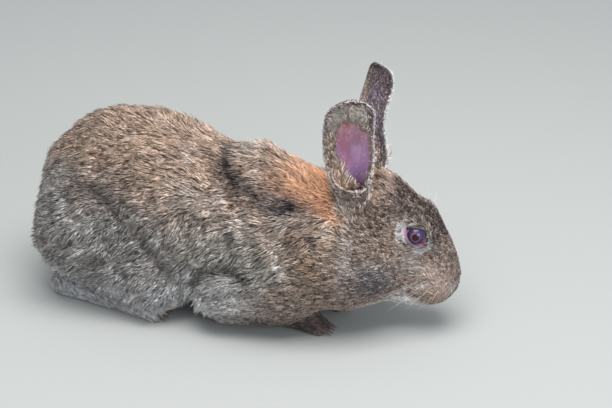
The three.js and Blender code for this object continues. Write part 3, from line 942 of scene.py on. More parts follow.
# %% Node group: markings of the coat
PALETTE = {
    "back": shade(194, 170, 154),
    "nape": shade(212, 158, 122),
    "flank": shade(194, 187, 180),
    "belly": shade(216, 217, 218),
    # painted shade in the folds
    "fold": shade(84, 76, 82),
    "tan": shade(198, 162, 130),
    "pale": shade(232, 230, 228),
    # dark fur, and painted shade in creases, on the throat and under the chest
    "dark": shade(74, 62, 62),
    # painted bluish shade
    "blue": shade(136, 137, 148),
    "tip": shade(238, 222, 200),
    "bare": shade(150, 124, 132),
}


def markings_group():
    inputs = [(name.title(), "NodeSocketColor", color) for name, color in PALETTE.items()]
    inputs += [(name, "NodeSocketColor", (0, 0, 0, 1)) for name in ("Zones A", "Zones B")]
    inputs += [(name, "NodeSocketFloat", 0.0) for name in ("Fold Share", "Blue Share", "Bare Share")]
    inputs += [("Black Tipped", "NodeSocketFloat", 0.42)]
    inputs += [(name, "NodeSocketFloat", 0.5) for name in ("Along", "Strand", "Clump")]
    outputs = [("Color", "NodeSocketColor"), ("Roughness", "NodeSocketFloat")]
    group, given, result = new_group("coat_markings", inputs, outputs)
    first = add_node(group, "ShaderNodeSeparateColor", {"Color": given["Zones A"]}).outputs
    second = add_node(group, "ShaderNodeSeparateColor", {"Color": given["Zones B"]}).outputs
    share = {"nape": first[0], "flank": first[1], "belly": first[2], "fold": given["Fold Share"]}
    share |= {"tan": second[0], "pale": second[1], "dark": second[2], "blue": given["Blue Share"]}
    color = given["Back"]
    for zone in ("flank", "tan", "nape", "belly", "blue", "pale", "dark", "fold"):
        color = mix(group, share[zone], color, given[zone.title()])
    tone_inputs = {name: given[name] for name in ("Along", "Strand", "Clump")}
    fewer = [calc(group, "MULTIPLY", share["pale"], 0.26), calc(group, "MULTIPLY", share["belly"], 0.14)]
    fewer = calc(group, "ADD", *fewer)
    tone_inputs["Black Tipped"] = calc(group, "SUBTRACT", given["Black Tipped"], fewer)
    tones = add_node(group, "ShaderNodeGroup", tone_inputs, node_tree=HAIR_TONE).outputs
    calm = calc(group, "MULTIPLY", calc(group, "ADD", share["pale"], share["nape"]), 0.4)
    banded = calc(group, "MULTIPLY", tones["Tone"], calc(group, "SUBTRACT", 1, calm))
    tone = calc(group, "ADD", banded, calm)
    tipped = mix(group, calc(group, "MULTIPLY", tones["Tip"], 0.5), color, given["Tip"])
    # painted shade: the tone is darkened in the folds
    dull = calc(group, "SUBTRACT", 1, calc(group, "MULTIPLY", share["fold"], 0.45))
    tone = calc(group, "MULTIPLY", tone, dull)
    grey = add_node(group, "ShaderNodeCombineColor", {"Red": tone, "Green": tone, "Blue": tone}).outputs[0]
    furred = mix(group, 1.0, tipped, grey, "MULTIPLY")
    group.links.new(mix(group, given["Bare Share"], furred, given["Bare"]), result["Color"])
    group.links.new(rescale(group, given["Strand"], 0, 1, 0.5, 0.72), result["Roughness"])
    return group


MARKINGS = markings_group()
print("markings group:", len(MARKINGS.nodes), "nodes")

# %% [markdown]
# Dry fur has only a weak, wide sheen. A hair shader would suit single hairs, but our locks are solid
# spikes, so the plain main shader with a rough surface and little gloss comes closer. The skin under the
# coat takes the same colours, so that a gap between locks never shows, and a fine bump stands for the
# short hairs on it.

# %% Materials of coat and skin
def coat_material(name, look=None):
    """Sends the stored numbers through the markings group into the shader. look changes some colours."""
    material, tree, shader = new_finish(name)
    parts, hair = stored_numbers(tree, "hair")
    zones_a = add_node(tree, "ShaderNodeAttribute", attribute_name="zones_a").outputs
    zones_b = add_node(tree, "ShaderNodeAttribute", attribute_name="zones_b").outputs
    inputs = {"Zones A": zones_a["Color"], "Zones B": zones_b["Color"], "Fold Share": zones_a["Alpha"]}
    inputs |= {"Blue Share": zones_b["Alpha"], "Along": parts[0], "Strand": parts[1], "Clump": parts[2]}
    inputs |= {"Bare Share": hair["Alpha"], **(look or {})}
    colours = add_node(tree, "ShaderNodeGroup", inputs, node_tree=MARKINGS).outputs
    tree.links.new(colours["Color"], shader.inputs["Base Color"])
    tree.links.new(colours["Roughness"], shader.inputs["Roughness"])
    shader.inputs["Specular IOR Level"].default_value = 0.28
    return material


def add_fine_bump(material, height, pitch):
    """Adds short-hair relief to a material: fine noise through a Bump node."""
    tree = material.node_tree
    place = add_node(tree, "ShaderNodeTexCoord").outputs["Object"]
    noise = add_node(tree, "ShaderNodeTexNoise", {"Vector": place, "Scale": 1 / pitch, "Detail": 3.0})
    relief = {"Height": noise.outputs["Fac"], "Strength": 0.6, "Distance": height}
    bump = add_node(tree, "ShaderNodeBump", relief)
    tree.links.new(bump.outputs["Normal"], tree.nodes["Principled BSDF"].inputs["Normal"])


SKIN_FINISH = coat_material("skin_finish")
add_fine_bump(SKIN_FINISH, 0.4 * MM, 0.8 * MM)
COAT_FINISH = coat_material("coat_finish")
print("coat and skin share the group", MARKINGS.name)

# %% [markdown]
# A rabbit's nose, lips and eye rims are bare or nearly so. They could be pieces of their own with a seam
# all around. One skin with a number that fades from furred to bare needs no seam. The finished skin then
# takes the place of the trunk, neck, head, tail and legs of the solid model.

# %% The skin as a piece
LOW_ON_HAIR = 0.34  # the place along a hair whose tone the skin takes
EYE_REACH = 14  # millimetres from the middle of an eyeball within which its lids lie


def bare_share(points):
    """1 where the skin shows through: the nose, the lips and the rims of the eyes."""
    head = right_side(HEAD.local(points))
    share = near_chain(head, NOSTRIL, 4.0) - 1.1 * near_chain(head, NOSTRIL, 1.7)
    share = np.maximum(share, 0.35 * near_chain(head, LIP_SPLIT, 2.4))
    share = np.maximum(share, 0.25 * near_chain(head, MOUTH, 2.0))
    for side in (-1, 1):
        angles, distance = angles_at_eye(points, side)
        share = np.maximum(share, fade(outside_slit(angles), 2.2, 1.2) * (distance < EYE_REACH))
    return share


def add_object(name, mesh, *replaced):
    """Puts a mesh on the body of the animal, in place of the nodes named."""
    made = bpy.data.objects.new(name, mesh)
    bpy.context.collection.objects.link(made)
    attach(made, "root")
    if replaced:
        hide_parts(*replaced)
    return made


def finish_skin(mesh):
    points = read_points(mesh)
    zones = zone_shares(points, read_normals(mesh))
    write_zones(mesh, zones)
    strand = 0.5 + 0.5 * waves(points, 0.0025, 31)
    clump = 0.5 + 0.4 * waves(points, 0.008, 32)
    bare = bare_share(points)
    write_colour(mesh, "hair", [np.full(len(points), LOW_ON_HAIR), strand, clump, bare])
    mesh.materials.append(SKIN_FINISH)
    skin = add_object("skin", mesh, *FLESH)
    percent = round(100 * float(bare.clip(0).mean()), 1)
    print("the skin wears its markings, and", percent, "percent of it is bare")


finish_skin(skin_mesh)

# %% [markdown]
# ## The lie of the coat
# Hair on a rabbit points away from the nose: over the forehead, between the ears, along the back, and
# down over the rump. On the flanks it sinks towards the floor, on the chest it hangs, and on the feet it
# runs to the toes. Around the eyes it turns outwards. The function gives a direction for any point.
# Combing by hand would look as good, but nobody could repeat it. Slow waves bend the lie a little,
# because no coat is combed.

# %% Directions of the hair
def lie_of_coat(points, normals):
    trunk = TRUNK.local(points)
    head = HEAD.local(points)
    out = TRUNK.seen(normals)
    ones = np.ones(len(points))

    down = 0.22 + 0.75 * fade(np.abs(out[:, 1]), 0.3, 0.95) * fade(out[:, 2], 0.85, 0.1)
    down = down + 1.4 * fade(out[:, 0], 0.35, 0.85)
    body = np.column_stack([-ones, 0.12 * np.sign(trunk[:, 1]) * ones, -down])
    on_foot = fade(trunk[:, 2], 34, 16)[:, None]
    body = TRUNK.aim(body * (1 - on_foot) + np.array([0.9, 0, -0.5]) * on_foot)

    face_out = HEAD.seen(normals)
    sink = 0.1 + 0.5 * fade(np.abs(face_out[:, 1]), 0.4, 0.95) * fade(head[:, 0], 45, 0)
    face = HEAD.aim(np.column_stack([-ones, 0.15 * np.sign(head[:, 1]) * ones, -sink]))
    on_head = head_share(head, -56, -30, 0.2)[:, None]
    lie = body * (1 - on_head) + face * on_head

    for side in (-1, 1):
        away = points - eye_axes(side)[0]
        near = fade(np.linalg.norm(away, axis=1), 0.020, 0.011)[:, None]
        lie = lie * (1 - 0.5 * near) + unit(away) * 0.5 * near
    at_ear, ear_way = near_ears(points)
    lie = lie * (1 - 0.85 * at_ear[:, None]) + 0.85 * ear_way

    bend = np.column_stack([waves(points, 0.045, seed) for seed in (41, 42, 43)])
    lie = unit(lie) + 0.22 * bend * (1 - 0.6 * on_head)
    lie = lie - normals * (lie * normals).sum(1, keepdims=True)
    return unit(lie)


skin_lies = lie_of_coat(read_points(skin_mesh), read_normals(skin_mesh))
backwards = (TRUNK.seen(skin_lies)[:, 0] < 0).mean()
print(round(100 * float(backwards)), "percent of the coat lies towards the tail")

# %% [markdown]
# ## Locks of fur
# One lock is a slim three-sided spike in two stretches. It leaves the skin steeply, bends over and lies
# along the body. Neighbouring locks lean towards a shared tip, as damp or heavy fur does, and that draws
# the streaks one sees on a real coat. All locks are worked out at once as arrays of points. They are
# short and narrow on the nose, and longest at the elbow and on the tail.

# %% Size of the locks
def lock_sizes(points):
    """Length and width of the locks in millimetres, and how many grow on a square centimetre."""
    head = right_side(HEAD.local(points))
    trunk = right_side(TRUNK.local(points))
    on_head = head_share(head, -50, -22, 0.25)
    nose = fade(head[:, 0], 25, 58)
    jaw = fade(head[:, 2], -40, -62)
    off_foot = fade(points[:, 2], 0.014, 0.04)
    face_length = 5.2 - 3.1 * nose + 4.0 * jaw * (1 - nose)
    length = 14.5 + (face_length - 14.5) * on_head
    elbow = soft_spot(trunk, (-66, -64, 34), (38, 26, 28)) * off_foot
    tail = soft_spot(trunk, (-262, 0, 48), (18, 26, 30))
    length *= 0.42 + 0.58 * off_foot
    length += 4.5 * elbow * (1 - on_head) + 5 * tail
    at_ear = near_ears(points)[0]
    length += (9 - length) * at_ear
    length *= 1 - 0.3 * np.clip(sum(fold_shares(points, widen=1.8).values()), 0, 1) * (1 - on_head)
    width = 0.92 + (0.72 - 0.2 * nose - 0.92) * on_head
    width *= 0.6 + 0.4 * off_foot
    below = fade(trunk[:, 2], 42, 22) * (1 - on_head)
    crowd = 60 + (82 + 34 * nose - 60) * on_head + 30 * (1 - off_foot) - 12 * below
    return length, width, crowd


skin_lengths = lock_sizes(read_points(skin_mesh))[0]
print(f"locks are {skin_lengths.min():.1f} to {skin_lengths.max():.1f} mm long before they are varied")

# %% [markdown]
# Each lock needs a root on the skin. Roots drawn quite freely would leave bald gaps next to crowds. Here
# the triangles of the skin are laid out in one long row, as long as the number of roots each should
# carry, and one root is drawn in each equal step of that row. So they spread evenly and still show no
# pattern.

# %% Roots spread over the skin
CM2 = 1e4  # square centimetres in a square metre


def triangles_of(mesh):
    """The three point numbers of each triangle of a mesh."""
    mesh.calc_loop_triangles()
    corners = np.empty(len(mesh.loop_triangles) * 3, np.int64)
    mesh.loop_triangles.foreach_get("vertices", corners)
    return corners.reshape(-1, 3)


def scatter(points, triangles, crowd, seed):
    """Random places on a mesh, crowd of them to a square centimetre: their triangles and corner weights."""
    a, b, c = (points[triangles[:, k]] for k in range(3))
    area = np.linalg.norm(np.cross(b - a, c - a), axis=1) / 2
    share = np.cumsum(area * crowd[triangles].mean(1) * CM2)
    count = int(share[-1])
    draw = np.random.default_rng(seed)
    chosen = np.searchsorted(share, (np.arange(count) + draw.random(count)) * share[-1] / count)
    chosen = np.minimum(chosen, len(triangles) - 1)
    first, second = draw.random((2, count))
    fold = first + second > 1
    first[fold], second[fold] = 1 - first[fold], 1 - second[fold]
    return chosen, np.column_stack([1 - first - second, first, second])


def spread_over(mesh, crowd, columns, seed):
    """Roots on a mesh with their normals, and what the columns of numbers hold there."""
    triangles = triangles_of(mesh)
    values = np.column_stack([read_points(mesh), read_normals(mesh), *columns])
    chosen, corner = scatter(values[:, :3], triangles, crowd, seed)
    held = (values[triangles[chosen]] * corner[:, :, None]).sum(1)
    return held[:, :3], unit(held[:, 3:6]), held[:, 6:].T


print("triangles of the skin to grow on:", len(triangles_of(skin_mesh)))

# %% [markdown]
# A lock is a bundle of hairs that cling together. Blender can grow hair by itself, but such hair is a
# curve and is lost when the model leaves Blender. A lock of seven points is a small closed solid: a ring
# of three at the root, a ring of three where it bends, and the tip. Some locks are longer and thinner,
# like guard hairs. Each lock also gets its own small patch on a map, on which its colours can be baked
# later.

# %% From roots to locks
LOCK_POINTS = 7
LOCK_FACES = np.array([
    (0, 1, 3), (1, 4, 3), (3, 4, 6),
    (1, 2, 4), (2, 5, 4), (4, 5, 6),
    (2, 0, 5), (0, 3, 5), (5, 3, 6),
    (0, 2, 1),
])
BEND_TONE = 0.42  # how far along the hair the colour at the bend is read
LOCK_FLATNESS = 0.42
GUARD_SHARE = 0.12  # how many of the locks are guard hairs
FULL_PULL = 4 * MM  # a shared tip pulls fully on tips nearer than this
NO_PULL = 8 * MM  # and not at all on tips farther than this


def clumps_of(roots, size, seed):
    """For each root the number of its clump, and for each clump the root in its middle."""
    draw = np.random.default_rng(seed)
    middles = np.flatnonzero(draw.random(len(roots)) < 1 / size)
    tree = KDTree(len(middles))
    for index, root in enumerate(roots[middles]):
        tree.insert(root, index)
    tree.balance()
    return np.array([tree.find(root)[1] for root in roots]), middles


def lock_points(roots, ups, lies, length, height, width, pull, seed, clump_size):
    """The points of every lock, and the random numbers of its strand and clump. Lengths are in metres."""
    draw = np.random.default_rng(seed)
    count = len(roots)
    clump, middles = clumps_of(roots, clump_size, seed + 1)
    clump_swing = draw.normal(0, 0.2, len(middles))[clump]
    clump_lift = draw.uniform(0.75, 1.12, len(middles))[clump]
    swing = clump_swing + draw.normal(0, 0.12, count)
    across = unit(np.cross(ups, lies))
    lies = unit(lies + across * swing[:, None])
    across = unit(np.cross(ups, lies))
    guard = draw.random(count) < GUARD_SHARE
    length = length * draw.uniform(0.72, 1.12, count) * np.where(guard, 1.2, 1.0)
    width = width * draw.uniform(0.7, 1.25, count) * np.where(guard, 0.6, 1.0)
    lift = height * clump_lift * draw.uniform(0.6, 1.05, count) * np.where(guard, 1.18, 1.0)

    sunk = roots - ups * 0.6 * MM
    middle = sunk + lies * (0.40 * length)[:, None] + ups * (0.66 * lift + 0.6 * MM)[:, None]
    tip = sunk + lies * length[:, None] + ups * (lift + 0.4 * MM)[:, None]
    shared_tip = tip[middles][clump]
    far = np.linalg.norm(shared_tip - tip, axis=1)
    pull = pull * fade(far, NO_PULL, FULL_PULL)
    tip = tip + (shared_tip - tip) * pull[:, None]

    points = np.empty((count, LOCK_POINTS, 3))
    for ring, (centre, wide) in enumerate(((sunk, 0.75), (middle, 1.0))):
        half = across * (wide * width / 2)[:, None]
        points[:, 3 * ring] = centre - half
        points[:, 3 * ring + 1] = centre + half
        points[:, 3 * ring + 2] = centre + ups * (wide * LOCK_FLATNESS * width)[:, None]
    points[:, 6] = tip
    return points, draw.random(count), draw.random(len(middles))[clump]


print("one lock has", LOCK_POINTS, "points and", len(LOCK_FACES), "triangles")

# %% From locks to a mesh
PATCH = 0.003  # the size of one lock's patch on the bake map
LOCK_PATCH = np.array([(0, 0), (1, 0), (0.5, 0.15), (0, 0.5), (1, 0.5), (0.5, 0.6), (0.5, 1)]) * PATCH


def lock_mesh(name, points, strand, clump, zones, map_places):
    """A mesh of locks with its stored numbers and its bake map."""
    count = len(points)
    mesh = bpy.data.meshes.new(name)
    corners = (LOCK_FACES[None] + LOCK_POINTS * np.arange(count)[:, None, None]).reshape(-1)
    mesh.vertices.add(LOCK_POINTS * count)
    mesh.vertices.foreach_set("co", points.reshape(-1))
    mesh.loops.add(len(corners))
    mesh.loops.foreach_set("vertex_index", corners.astype(np.int32))
    mesh.polygons.add(len(corners) // 3)
    mesh.polygons.foreach_set("loop_start", np.arange(0, len(corners), 3, dtype=np.int32))
    mesh.polygons.foreach_set("use_smooth", np.ones(len(corners) // 3, bool))
    mesh.update(calc_edges=True)

    along = np.tile([0, 0, 0, BEND_TONE, BEND_TONE, BEND_TONE, 1.0], count)
    strand, clump = np.repeat(strand, LOCK_POINTS), np.repeat(clump, LOCK_POINTS)
    write_colour(mesh, "hair", [along, strand, clump, 0 * along])
    write_zones(mesh, {zone: np.repeat(values, LOCK_POINTS) for zone, values in zones.items()})
    low, high = map_places.min(0), map_places.max(0)
    placed = (map_places - low) / np.maximum(high - low, 1e-9) * (1 - PATCH)
    spots = (placed[:, None] + LOCK_PATCH[None]).reshape(-1, 2)[corners]
    mesh.uv_layers.new(name="OFBake").data.foreach_set("uv", spots.astype(np.float32).reshape(-1))
    return mesh


print("a lock's patch takes", round(PATCH * 1024), "pixels of a map 1024 pixels wide")

# %% [markdown]
# A coat piece stays under 200,000 triangles, so the coat is parted by body region and side. The map for
# baking unrolls the skin like a sleeve: along the body one way, around it the other.

# %% Regions of the coat and places on its map
MOST_TRIANGLES = 200_000


def sleeve_places(points):
    """Each point's place on an unrolled skin: along the body, and around it."""
    trunk = TRUNK.local(points)
    head = HEAD.local(points)
    on_head = head_share(head, -50, -30, 0.2)
    along = trunk[:, 0] * (1 - on_head) + (60 + head[:, 0]) * on_head
    around_body = np.arctan2(trunk[:, 1], trunk[:, 2] - 70)
    around_head = np.arctan2(head[:, 1], head[:, 2] + 20)
    return np.column_stack([along, around_body * (1 - on_head) + around_head * on_head])


def region_of(points):
    """The coat piece that each root belongs to."""
    trunk = TRUNK.local(points)
    head = HEAD.local(points)
    part = np.full(len(points), "shoulder", dtype="<U12")
    part[trunk[:, 0] < -62] = "loin"
    part[trunk[:, 0] < -135] = "haunch"
    part[trunk[:, 0] < -195] = "rump"
    part[trunk[:, 0] > -14] = "neck"
    part[head[:, 0] - 0.25 * head[:, 2] > -36] = "cheek"
    part[head[:, 0] > 8] = "muzzle"
    side = np.where(np.where(part == "muzzle", head[:, 1], trunk[:, 1]) > 0, "left", "right")
    return np.array([f"{a}_{b}" for a, b in zip(part, side)])


region_names, region_sizes = np.unique(region_of(read_points(skin_mesh)), return_counts=True)
print("regions:", ", ".join(region_names), "with at least", region_sizes.min(), "points of skin each")

# %% [markdown]
# Fur stops at the lids, in the nostrils, between the lips and under the soles, and nothing grows inside
# the roots of the ears. The roots that fell there are thrown away. On the face each clump is a little
# paler or darker than the next, which gives the salt-and-pepper look of short agouti fur.

# %% Grow the coat of the body
def bare_places(points):
    """True where no lock may grow: on the lids, in the nostrils, in the mouth and on the soles."""
    head = right_side(HEAD.local(points))
    on_lids = np.zeros(len(points), bool)
    for side in (-1, 1):
        angles, distance = angles_at_eye(points, side)
        on_lids |= (outside_slit(angles) < 1.7) & (distance < EYE_REACH)
    in_nostril = distance_to_chain(head, NOSTRIL) < 2.6
    on_nose = np.linalg.norm((head - (64, 0, -10)) / (4, 5, 4), axis=1) < 1
    in_lips = (distance_to_chain(head, MOUTH) < 1.7) | (distance_to_chain(head, LIP_SPLIT) < 1.5)
    on_sole = points[:, 2] < 1.2 * MM
    in_tube = np.zeros(len(points), bool)
    for name in EARS:
        above, out = seen_from_ear(points, name)
        in_tube |= (out < EAR_ROOT_HALF - 0.5) & (above > -16)
    return on_lids | in_nostril | on_nose | in_lips | on_sole | in_tube


def grow_coat(mesh, crowd_share, seed):
    crowd = lock_sizes(read_points(mesh))[2] * crowd_share
    roots, ups, _ = spread_over(mesh, crowd, [], seed)
    keep = ~bare_places(roots)
    roots, ups = roots[keep], ups[keep]
    length, width, _ = lock_sizes(roots)
    width = width / math.sqrt(crowd_share)
    height = coat_depth(roots)
    lies = lie_of_coat(roots, ups)
    short = fade(length, 6, 12)
    pull = 0.35 + 0.25 * short
    clump_size = 2.2 + 3.8 * short
    sizes = (length * MM, height * MM, width * MM)
    locks, strand, clump = lock_points(roots, ups, lies, *sizes, pull, seed, clump_size)
    locks[..., 2] = np.maximum(locks[..., 2], 0.2 * MM)  # no hair goes through the floor
    zones = zone_shares(roots + lies * (0.5 * length * MM)[:, None], ups)
    on_head = fade(length, 12, 7)
    tick = (clump * 13.7) % 1
    zones["pale"] = np.clip(zones["pale"] + 0.4 * on_head * (tick > 0.8), 0, 1)
    zones["dark"] = np.clip(zones["dark"] + 0.45 * on_head * (tick < 0.25), 0, 1)
    regions = region_of(roots)
    places = sleeve_places(roots)
    total = 0
    for region in sorted(set(regions)):
        own = regions == region
        name = f"coat_{region}"
        own_zones = {zone: values[own] for zone, values in zones.items()}
        fur = lock_mesh(name, locks[own], strand[own], clump[own], own_zones, places[own])
        fur.materials.append(COAT_FINISH)
        piece = add_object(name, fur)
        triangles = len(fur.polygons)
        total += triangles
        print(f"{name}: {triangles} triangles")
        assert triangles < MOST_TRIANGLES, f"{name} has too many triangles"
    print("coat of the body:", total, "triangles")


grow_coat(skin_mesh, 1.0, 51)

# %% [markdown]
# ## The eyes
# Eyeballs, lids, ears, claws and whiskers are all rings of points, one after the other, joined by faces.
# So a few small helpers serve them all.

# %% Rings to a closed mesh
def band(first, second, around):
    """The four-sided faces between two rings, each said by the number of its first point."""
    steps = [(step, (step + 1) % around) for step in range(around)]
    return [(first + a, first + b, second + b, second + a) for a, b in steps]


def closed_mesh(name, points, faces):
    """A smooth mesh with all its faces turned outwards."""
    mesh = bpy.data.meshes.new(name)
    mesh.from_pydata(points, [], faces)
    net = bmesh.new()
    net.from_mesh(mesh)
    bmesh.ops.recalc_face_normals(net, faces=net.faces)
    net.to_mesh(mesh)
    net.free()
    mesh.polygons.foreach_set("use_smooth", np.ones(len(mesh.polygons), bool))
    return mesh


def mesh_of_rings(name, rings):
    """A closed mesh from rings of points, with a fan of triangles over each end."""
    rings = np.asarray(rings)
    count, around = rings.shape[:2]
    points = np.concatenate([rings.reshape(-1, 3), rings[0].mean(0)[None], rings[-1].mean(0)[None]])
    first_middle, last_middle = count * around, count * around + 1
    last_ring = (count - 1) * around
    faces = []
    for ring in range(count - 1):
        faces += band(ring * around, (ring + 1) * around, around)
    for step in range(around):
        following = (step + 1) % around
        faces.append((first_middle, following, step))
        faces.append((last_middle, last_ring + step, last_ring + following))
    return closed_mesh(name, points, faces)

# %% [markdown]
# A rabbit's eye is a large ball, bulged a little where the clear cornea lies. Its colours run in rings
# around the line of sight: a dark pupil, a grey-mauve ring, a darker iris with fine fibres, a nearly
# black rim, then the pink lining that shows in the corners. The mesh stores the angle from the line of
# sight, and noise stretched outwards from the pupil draws the fibres. A wet cornea also mirrors the sky.
# In even light that shows as one dull bluish sheen over the upper part of the eye, so it is mixed in
# there as a colour, and a thin clear coat gives the small highlights.

# %% Eyeballs
PUPIL_EDGE, IRIS_EDGE = 19, 44  # degrees from the line of sight


def eyeball_mesh(side):
    turns = np.concatenate([np.linspace(1.5, 60, 40), np.linspace(66, 176, 14)])
    angle = np.linspace(0, 2 * math.pi, 56, endpoint=False)
    rings = []
    for turn in turns:
        bulge = 0.75 * (1 - (turn / IRIS_EDGE) ** 2) if turn < IRIS_EDGE else 0
        at = turn * np.column_stack([np.cos(angle), np.sin(angle)])
        rings.append(point_at_eye(at, np.full(len(angle), EYE_RADIUS + bulge), side))
    mesh = mesh_of_rings("eyeball", rings)
    turn = np.append(np.repeat(turns, len(angle)), [0, 180])
    around = np.append(np.tile(angle, len(turns)), [0, 0])
    columns = [turn / 90, 0.5 + 0.5 * np.cos(around), 0.5 + 0.5 * np.sin(around), np.zeros(len(turn))]
    write_colour(mesh, "eye", columns)
    return mesh


print("each eyeball is", 2 * EYE_RADIUS, "mm across, its pupil", 2 * PUPIL_EDGE, "degrees wide")

# %% Finish of the eyes
def eye_colour_group():
    inputs = [("Turn", "NodeSocketFloat", 0.5), ("Place", "NodeSocketVector", (0, 0, 0))]
    group, given, result = new_group("eye_colour", inputs, [("Color", "NodeSocketColor")])
    squeezed = {0: given["Place"], 1: (26, 26, 1.2)}
    stretch = add_node(group, "ShaderNodeVectorMath", squeezed, operation="MULTIPLY").outputs[0]
    fibres = add_node(group, "ShaderNodeTexNoise", {"Vector": stretch, "Scale": 1.0}).outputs["Fac"]
    frayed = calc(group, "MULTIPLY", calc(group, "SUBTRACT", fibres, 0.5), 0.03)
    turn = calc(group, "ADD", given["Turn"], frayed)
    pupil, iris = PUPIL_EDGE / 90, IRIS_EDGE / 90
    color = mix(group, rescale(group, turn, 0, pupil), shade(34, 4, 12), shade(50, 12, 24))
    ring = mix(group, rescale(group, fibres, 0.35, 0.65), shade(84, 70, 80), shade(110, 94, 106))
    color = mix(group, rescale(group, turn, pupil - 0.01, pupil + 0.015), color, ring)
    outer = mix(group, rescale(group, fibres, 0.3, 0.7), shade(38, 22, 42), shade(60, 42, 68))
    color = mix(group, rescale(group, turn, pupil + 0.035, pupil + 0.085), color, outer)
    color = mix(group, rescale(group, turn, iris - 0.07, iris - 0.01), color, shade(22, 12, 24))
    color = mix(group, rescale(group, turn, iris + 0.02, iris + 0.09), color, shade(112, 78, 104))
    upward = add_node(group, "ShaderNodeSeparateXYZ", {0: given["Place"]}).outputs["Y"]
    height = calc(group, "SUBTRACT", upward, 0.5)
    height = calc(group, "MULTIPLY", height, calc(group, "MULTIPLY", given["Turn"], 2))
    color = mix(group, rescale(group, height, 0.04, 0.24, 0, 0.5), color, shade(62, 54, 94))
    group.links.new(color, result["Color"])
    return group


def eye_material():
    material, tree, shader = new_finish("eye_finish", 0.16)
    turn, ahead, up = stored_numbers(tree, "eye")[0]
    place = add_node(tree, "ShaderNodeCombineXYZ", {"X": ahead, "Y": up, "Z": turn}).outputs[0]
    inputs = {"Turn": turn, "Place": place}
    iris = add_node(tree, "ShaderNodeGroup", inputs, node_tree=eye_colour_group()).outputs
    tree.links.new(iris["Color"], shader.inputs["Base Color"])
    shader.inputs["Specular IOR Level"].default_value = 0.0
    shader.inputs["Coat Weight"].default_value = 1.0
    shader.inputs["Coat Roughness"].default_value = 0.03
    shader.inputs["Coat IOR"].default_value = 1.36
    return material


EYE_FINISH = eye_material()
for side, name in ((-1, "eye_right"), (1, "eye_left")):
    ball_mesh = eyeball_mesh(side)
    ball_mesh.materials.append(EYE_FINISH)
    ball = add_object(f"{name}_ball", ball_mesh, name)
    print(f"{name}_ball:", len(ball_mesh.polygons), "faces")

# %% [markdown]
# The lids are the bare rims of the slit, about two millimetres wide, dark above and mauve below, with
# pink at the front corner. They could be sculpted from the skin, but its net is too coarse for so fine an
# edge. So one soft ring is swept around the slit, its cross-section given as a short list, and it covers
# the skin's cut.

# %% Lids
LID_PROFILE = [  # (distance from the slit, height over the eyeball), in millimetres
    (-0.6, -0.5), (-0.15, 0.15), (0.0, 0.75), (0.5, 1.15), (1.2, 1.3), (2.0, 1.05), (2.9, 0.3), (3.4, -0.4),
]


def slit_outwards():
    """The direction away from the slit at each point of its outline, in its plane of angles."""
    closed = np.concatenate([SLIT[-2:], SLIT, SLIT[:2]])
    along = unit(closed[4:] - closed[:-4])
    return np.column_stack([-along[:, 1], along[:, 0]])


def lid_mesh(side):
    outwards = slit_outwards()
    upper = fade(outwards[:, 1], -0.3, 0.5)
    rings = []
    for distance, height in LID_PROFILE:
        at = SLIT + outwards * distance / DEGREE_AT_EYE
        lift = height + corner_lift(at) * fade(np.full(len(at), distance), -0.6, 0.2)
        rings.append(point_at_eye(at, EYE_RADIUS + lift, side))
    count, around = len(rings), len(SLIT)
    faces = []
    for ring in range(count):
        faces += band(ring * around, (ring + 1) % count * around, around)
    mesh = closed_mesh("lid", np.concatenate(rings), faces)
    across = np.repeat([ring / (count - 1) for ring in range(count)], around)
    corner = np.tile(fade(SLIT[:, 0], 40, 72), count)
    write_colour(mesh, "lid", [across, np.tile(upper, count), corner, 0 * across])
    return mesh


def lid_material():
    material, tree, shader = new_finish("lid_finish")
    across, upper, corner = stored_numbers(tree, "lid")[0]
    lining = mix(tree, upper, shade(84, 56, 82), shade(24, 17, 28))
    lining = mix(tree, corner, lining, shade(138, 88, 112))
    edge = mix(tree, upper, shade(160, 122, 156), shade(40, 32, 42))
    color = mix(tree, rescale(tree, across, 0.22, 0.45), lining, edge)
    outermost = mix(tree, upper, shade(120, 92, 118), shade(86, 78, 92))
    color = mix(tree, rescale(tree, across, 0.6, 0.85), color, outermost)
    tree.links.new(color, shader.inputs["Base Color"])
    tree.links.new(rescale(tree, across, 0.3, 0.7, 0.25, 0.6), shader.inputs["Roughness"])
    return material


LID_FINISH = lid_material()
for side, name in ((-1, "lids_right"), (1, "lids_left")):
    lids = lid_mesh(side)
    lids.materials.append(LID_FINISH)
    add_object(name, lids)
print("slit of the eye:", round(float(np.ptp(SLIT[:, 0]) * DEGREE_AT_EYE), 1), "mm around the ball")

# %% [markdown]
# ## The ears
# An ear is a sheet rolled almost to a tube at its root and opening into a spoon. Two numbers name a place
# on it: one runs from root to tip, the other from edge to edge. A third says how far the place stands off
# the middle of the sheet, so the same function gives both faces and the directions the fur takes.

# %% The shape of the ears
OUTER_EDGE = {"left": -1, "right": 1}  # the edge away from the other ear
SWAY = {"left": 0, "right": 3}  # bend of the middle towards the outer edge, in millimetres
LEAN = {"left": 6, "right": 1}  # bend of the tip towards the hollow side
EAR_LENGTH = 99  # millimetres from root to tip
EAR_HALF = 20.8  # half the width of the opened spoon, in millimetres
EAR_START = -0.1  # the sheet begins inside the head
TIP_START = 0.81  # where the sheet starts to close towards the tip
EAR_END = 0.998


def ear_arc(along):
    """Half the angle the sheet rolls through, in radians, and the radius of the roll, in millimetres."""
    spread = EAR_ROOT_HALF + (EAR_HALF - EAR_ROOT_HALF) * fade(along, 0.05, 0.5)
    past = np.clip((along - TIP_START) / (1 - TIP_START), 0, 1)
    half_width = spread * (1 - past**2.5) ** (1 / 2.5)
    cupped = 56 + 30 * fade(along, 0.5, 0.2) - 34 * fade(along, 0.3, 0.7)
    half_arc = np.radians(cupped + 85 * fade(along, 0.34, 0.06))
    return half_arc, np.maximum(half_width / np.sin(np.minimum(half_arc, math.pi / 2)), 1.9)


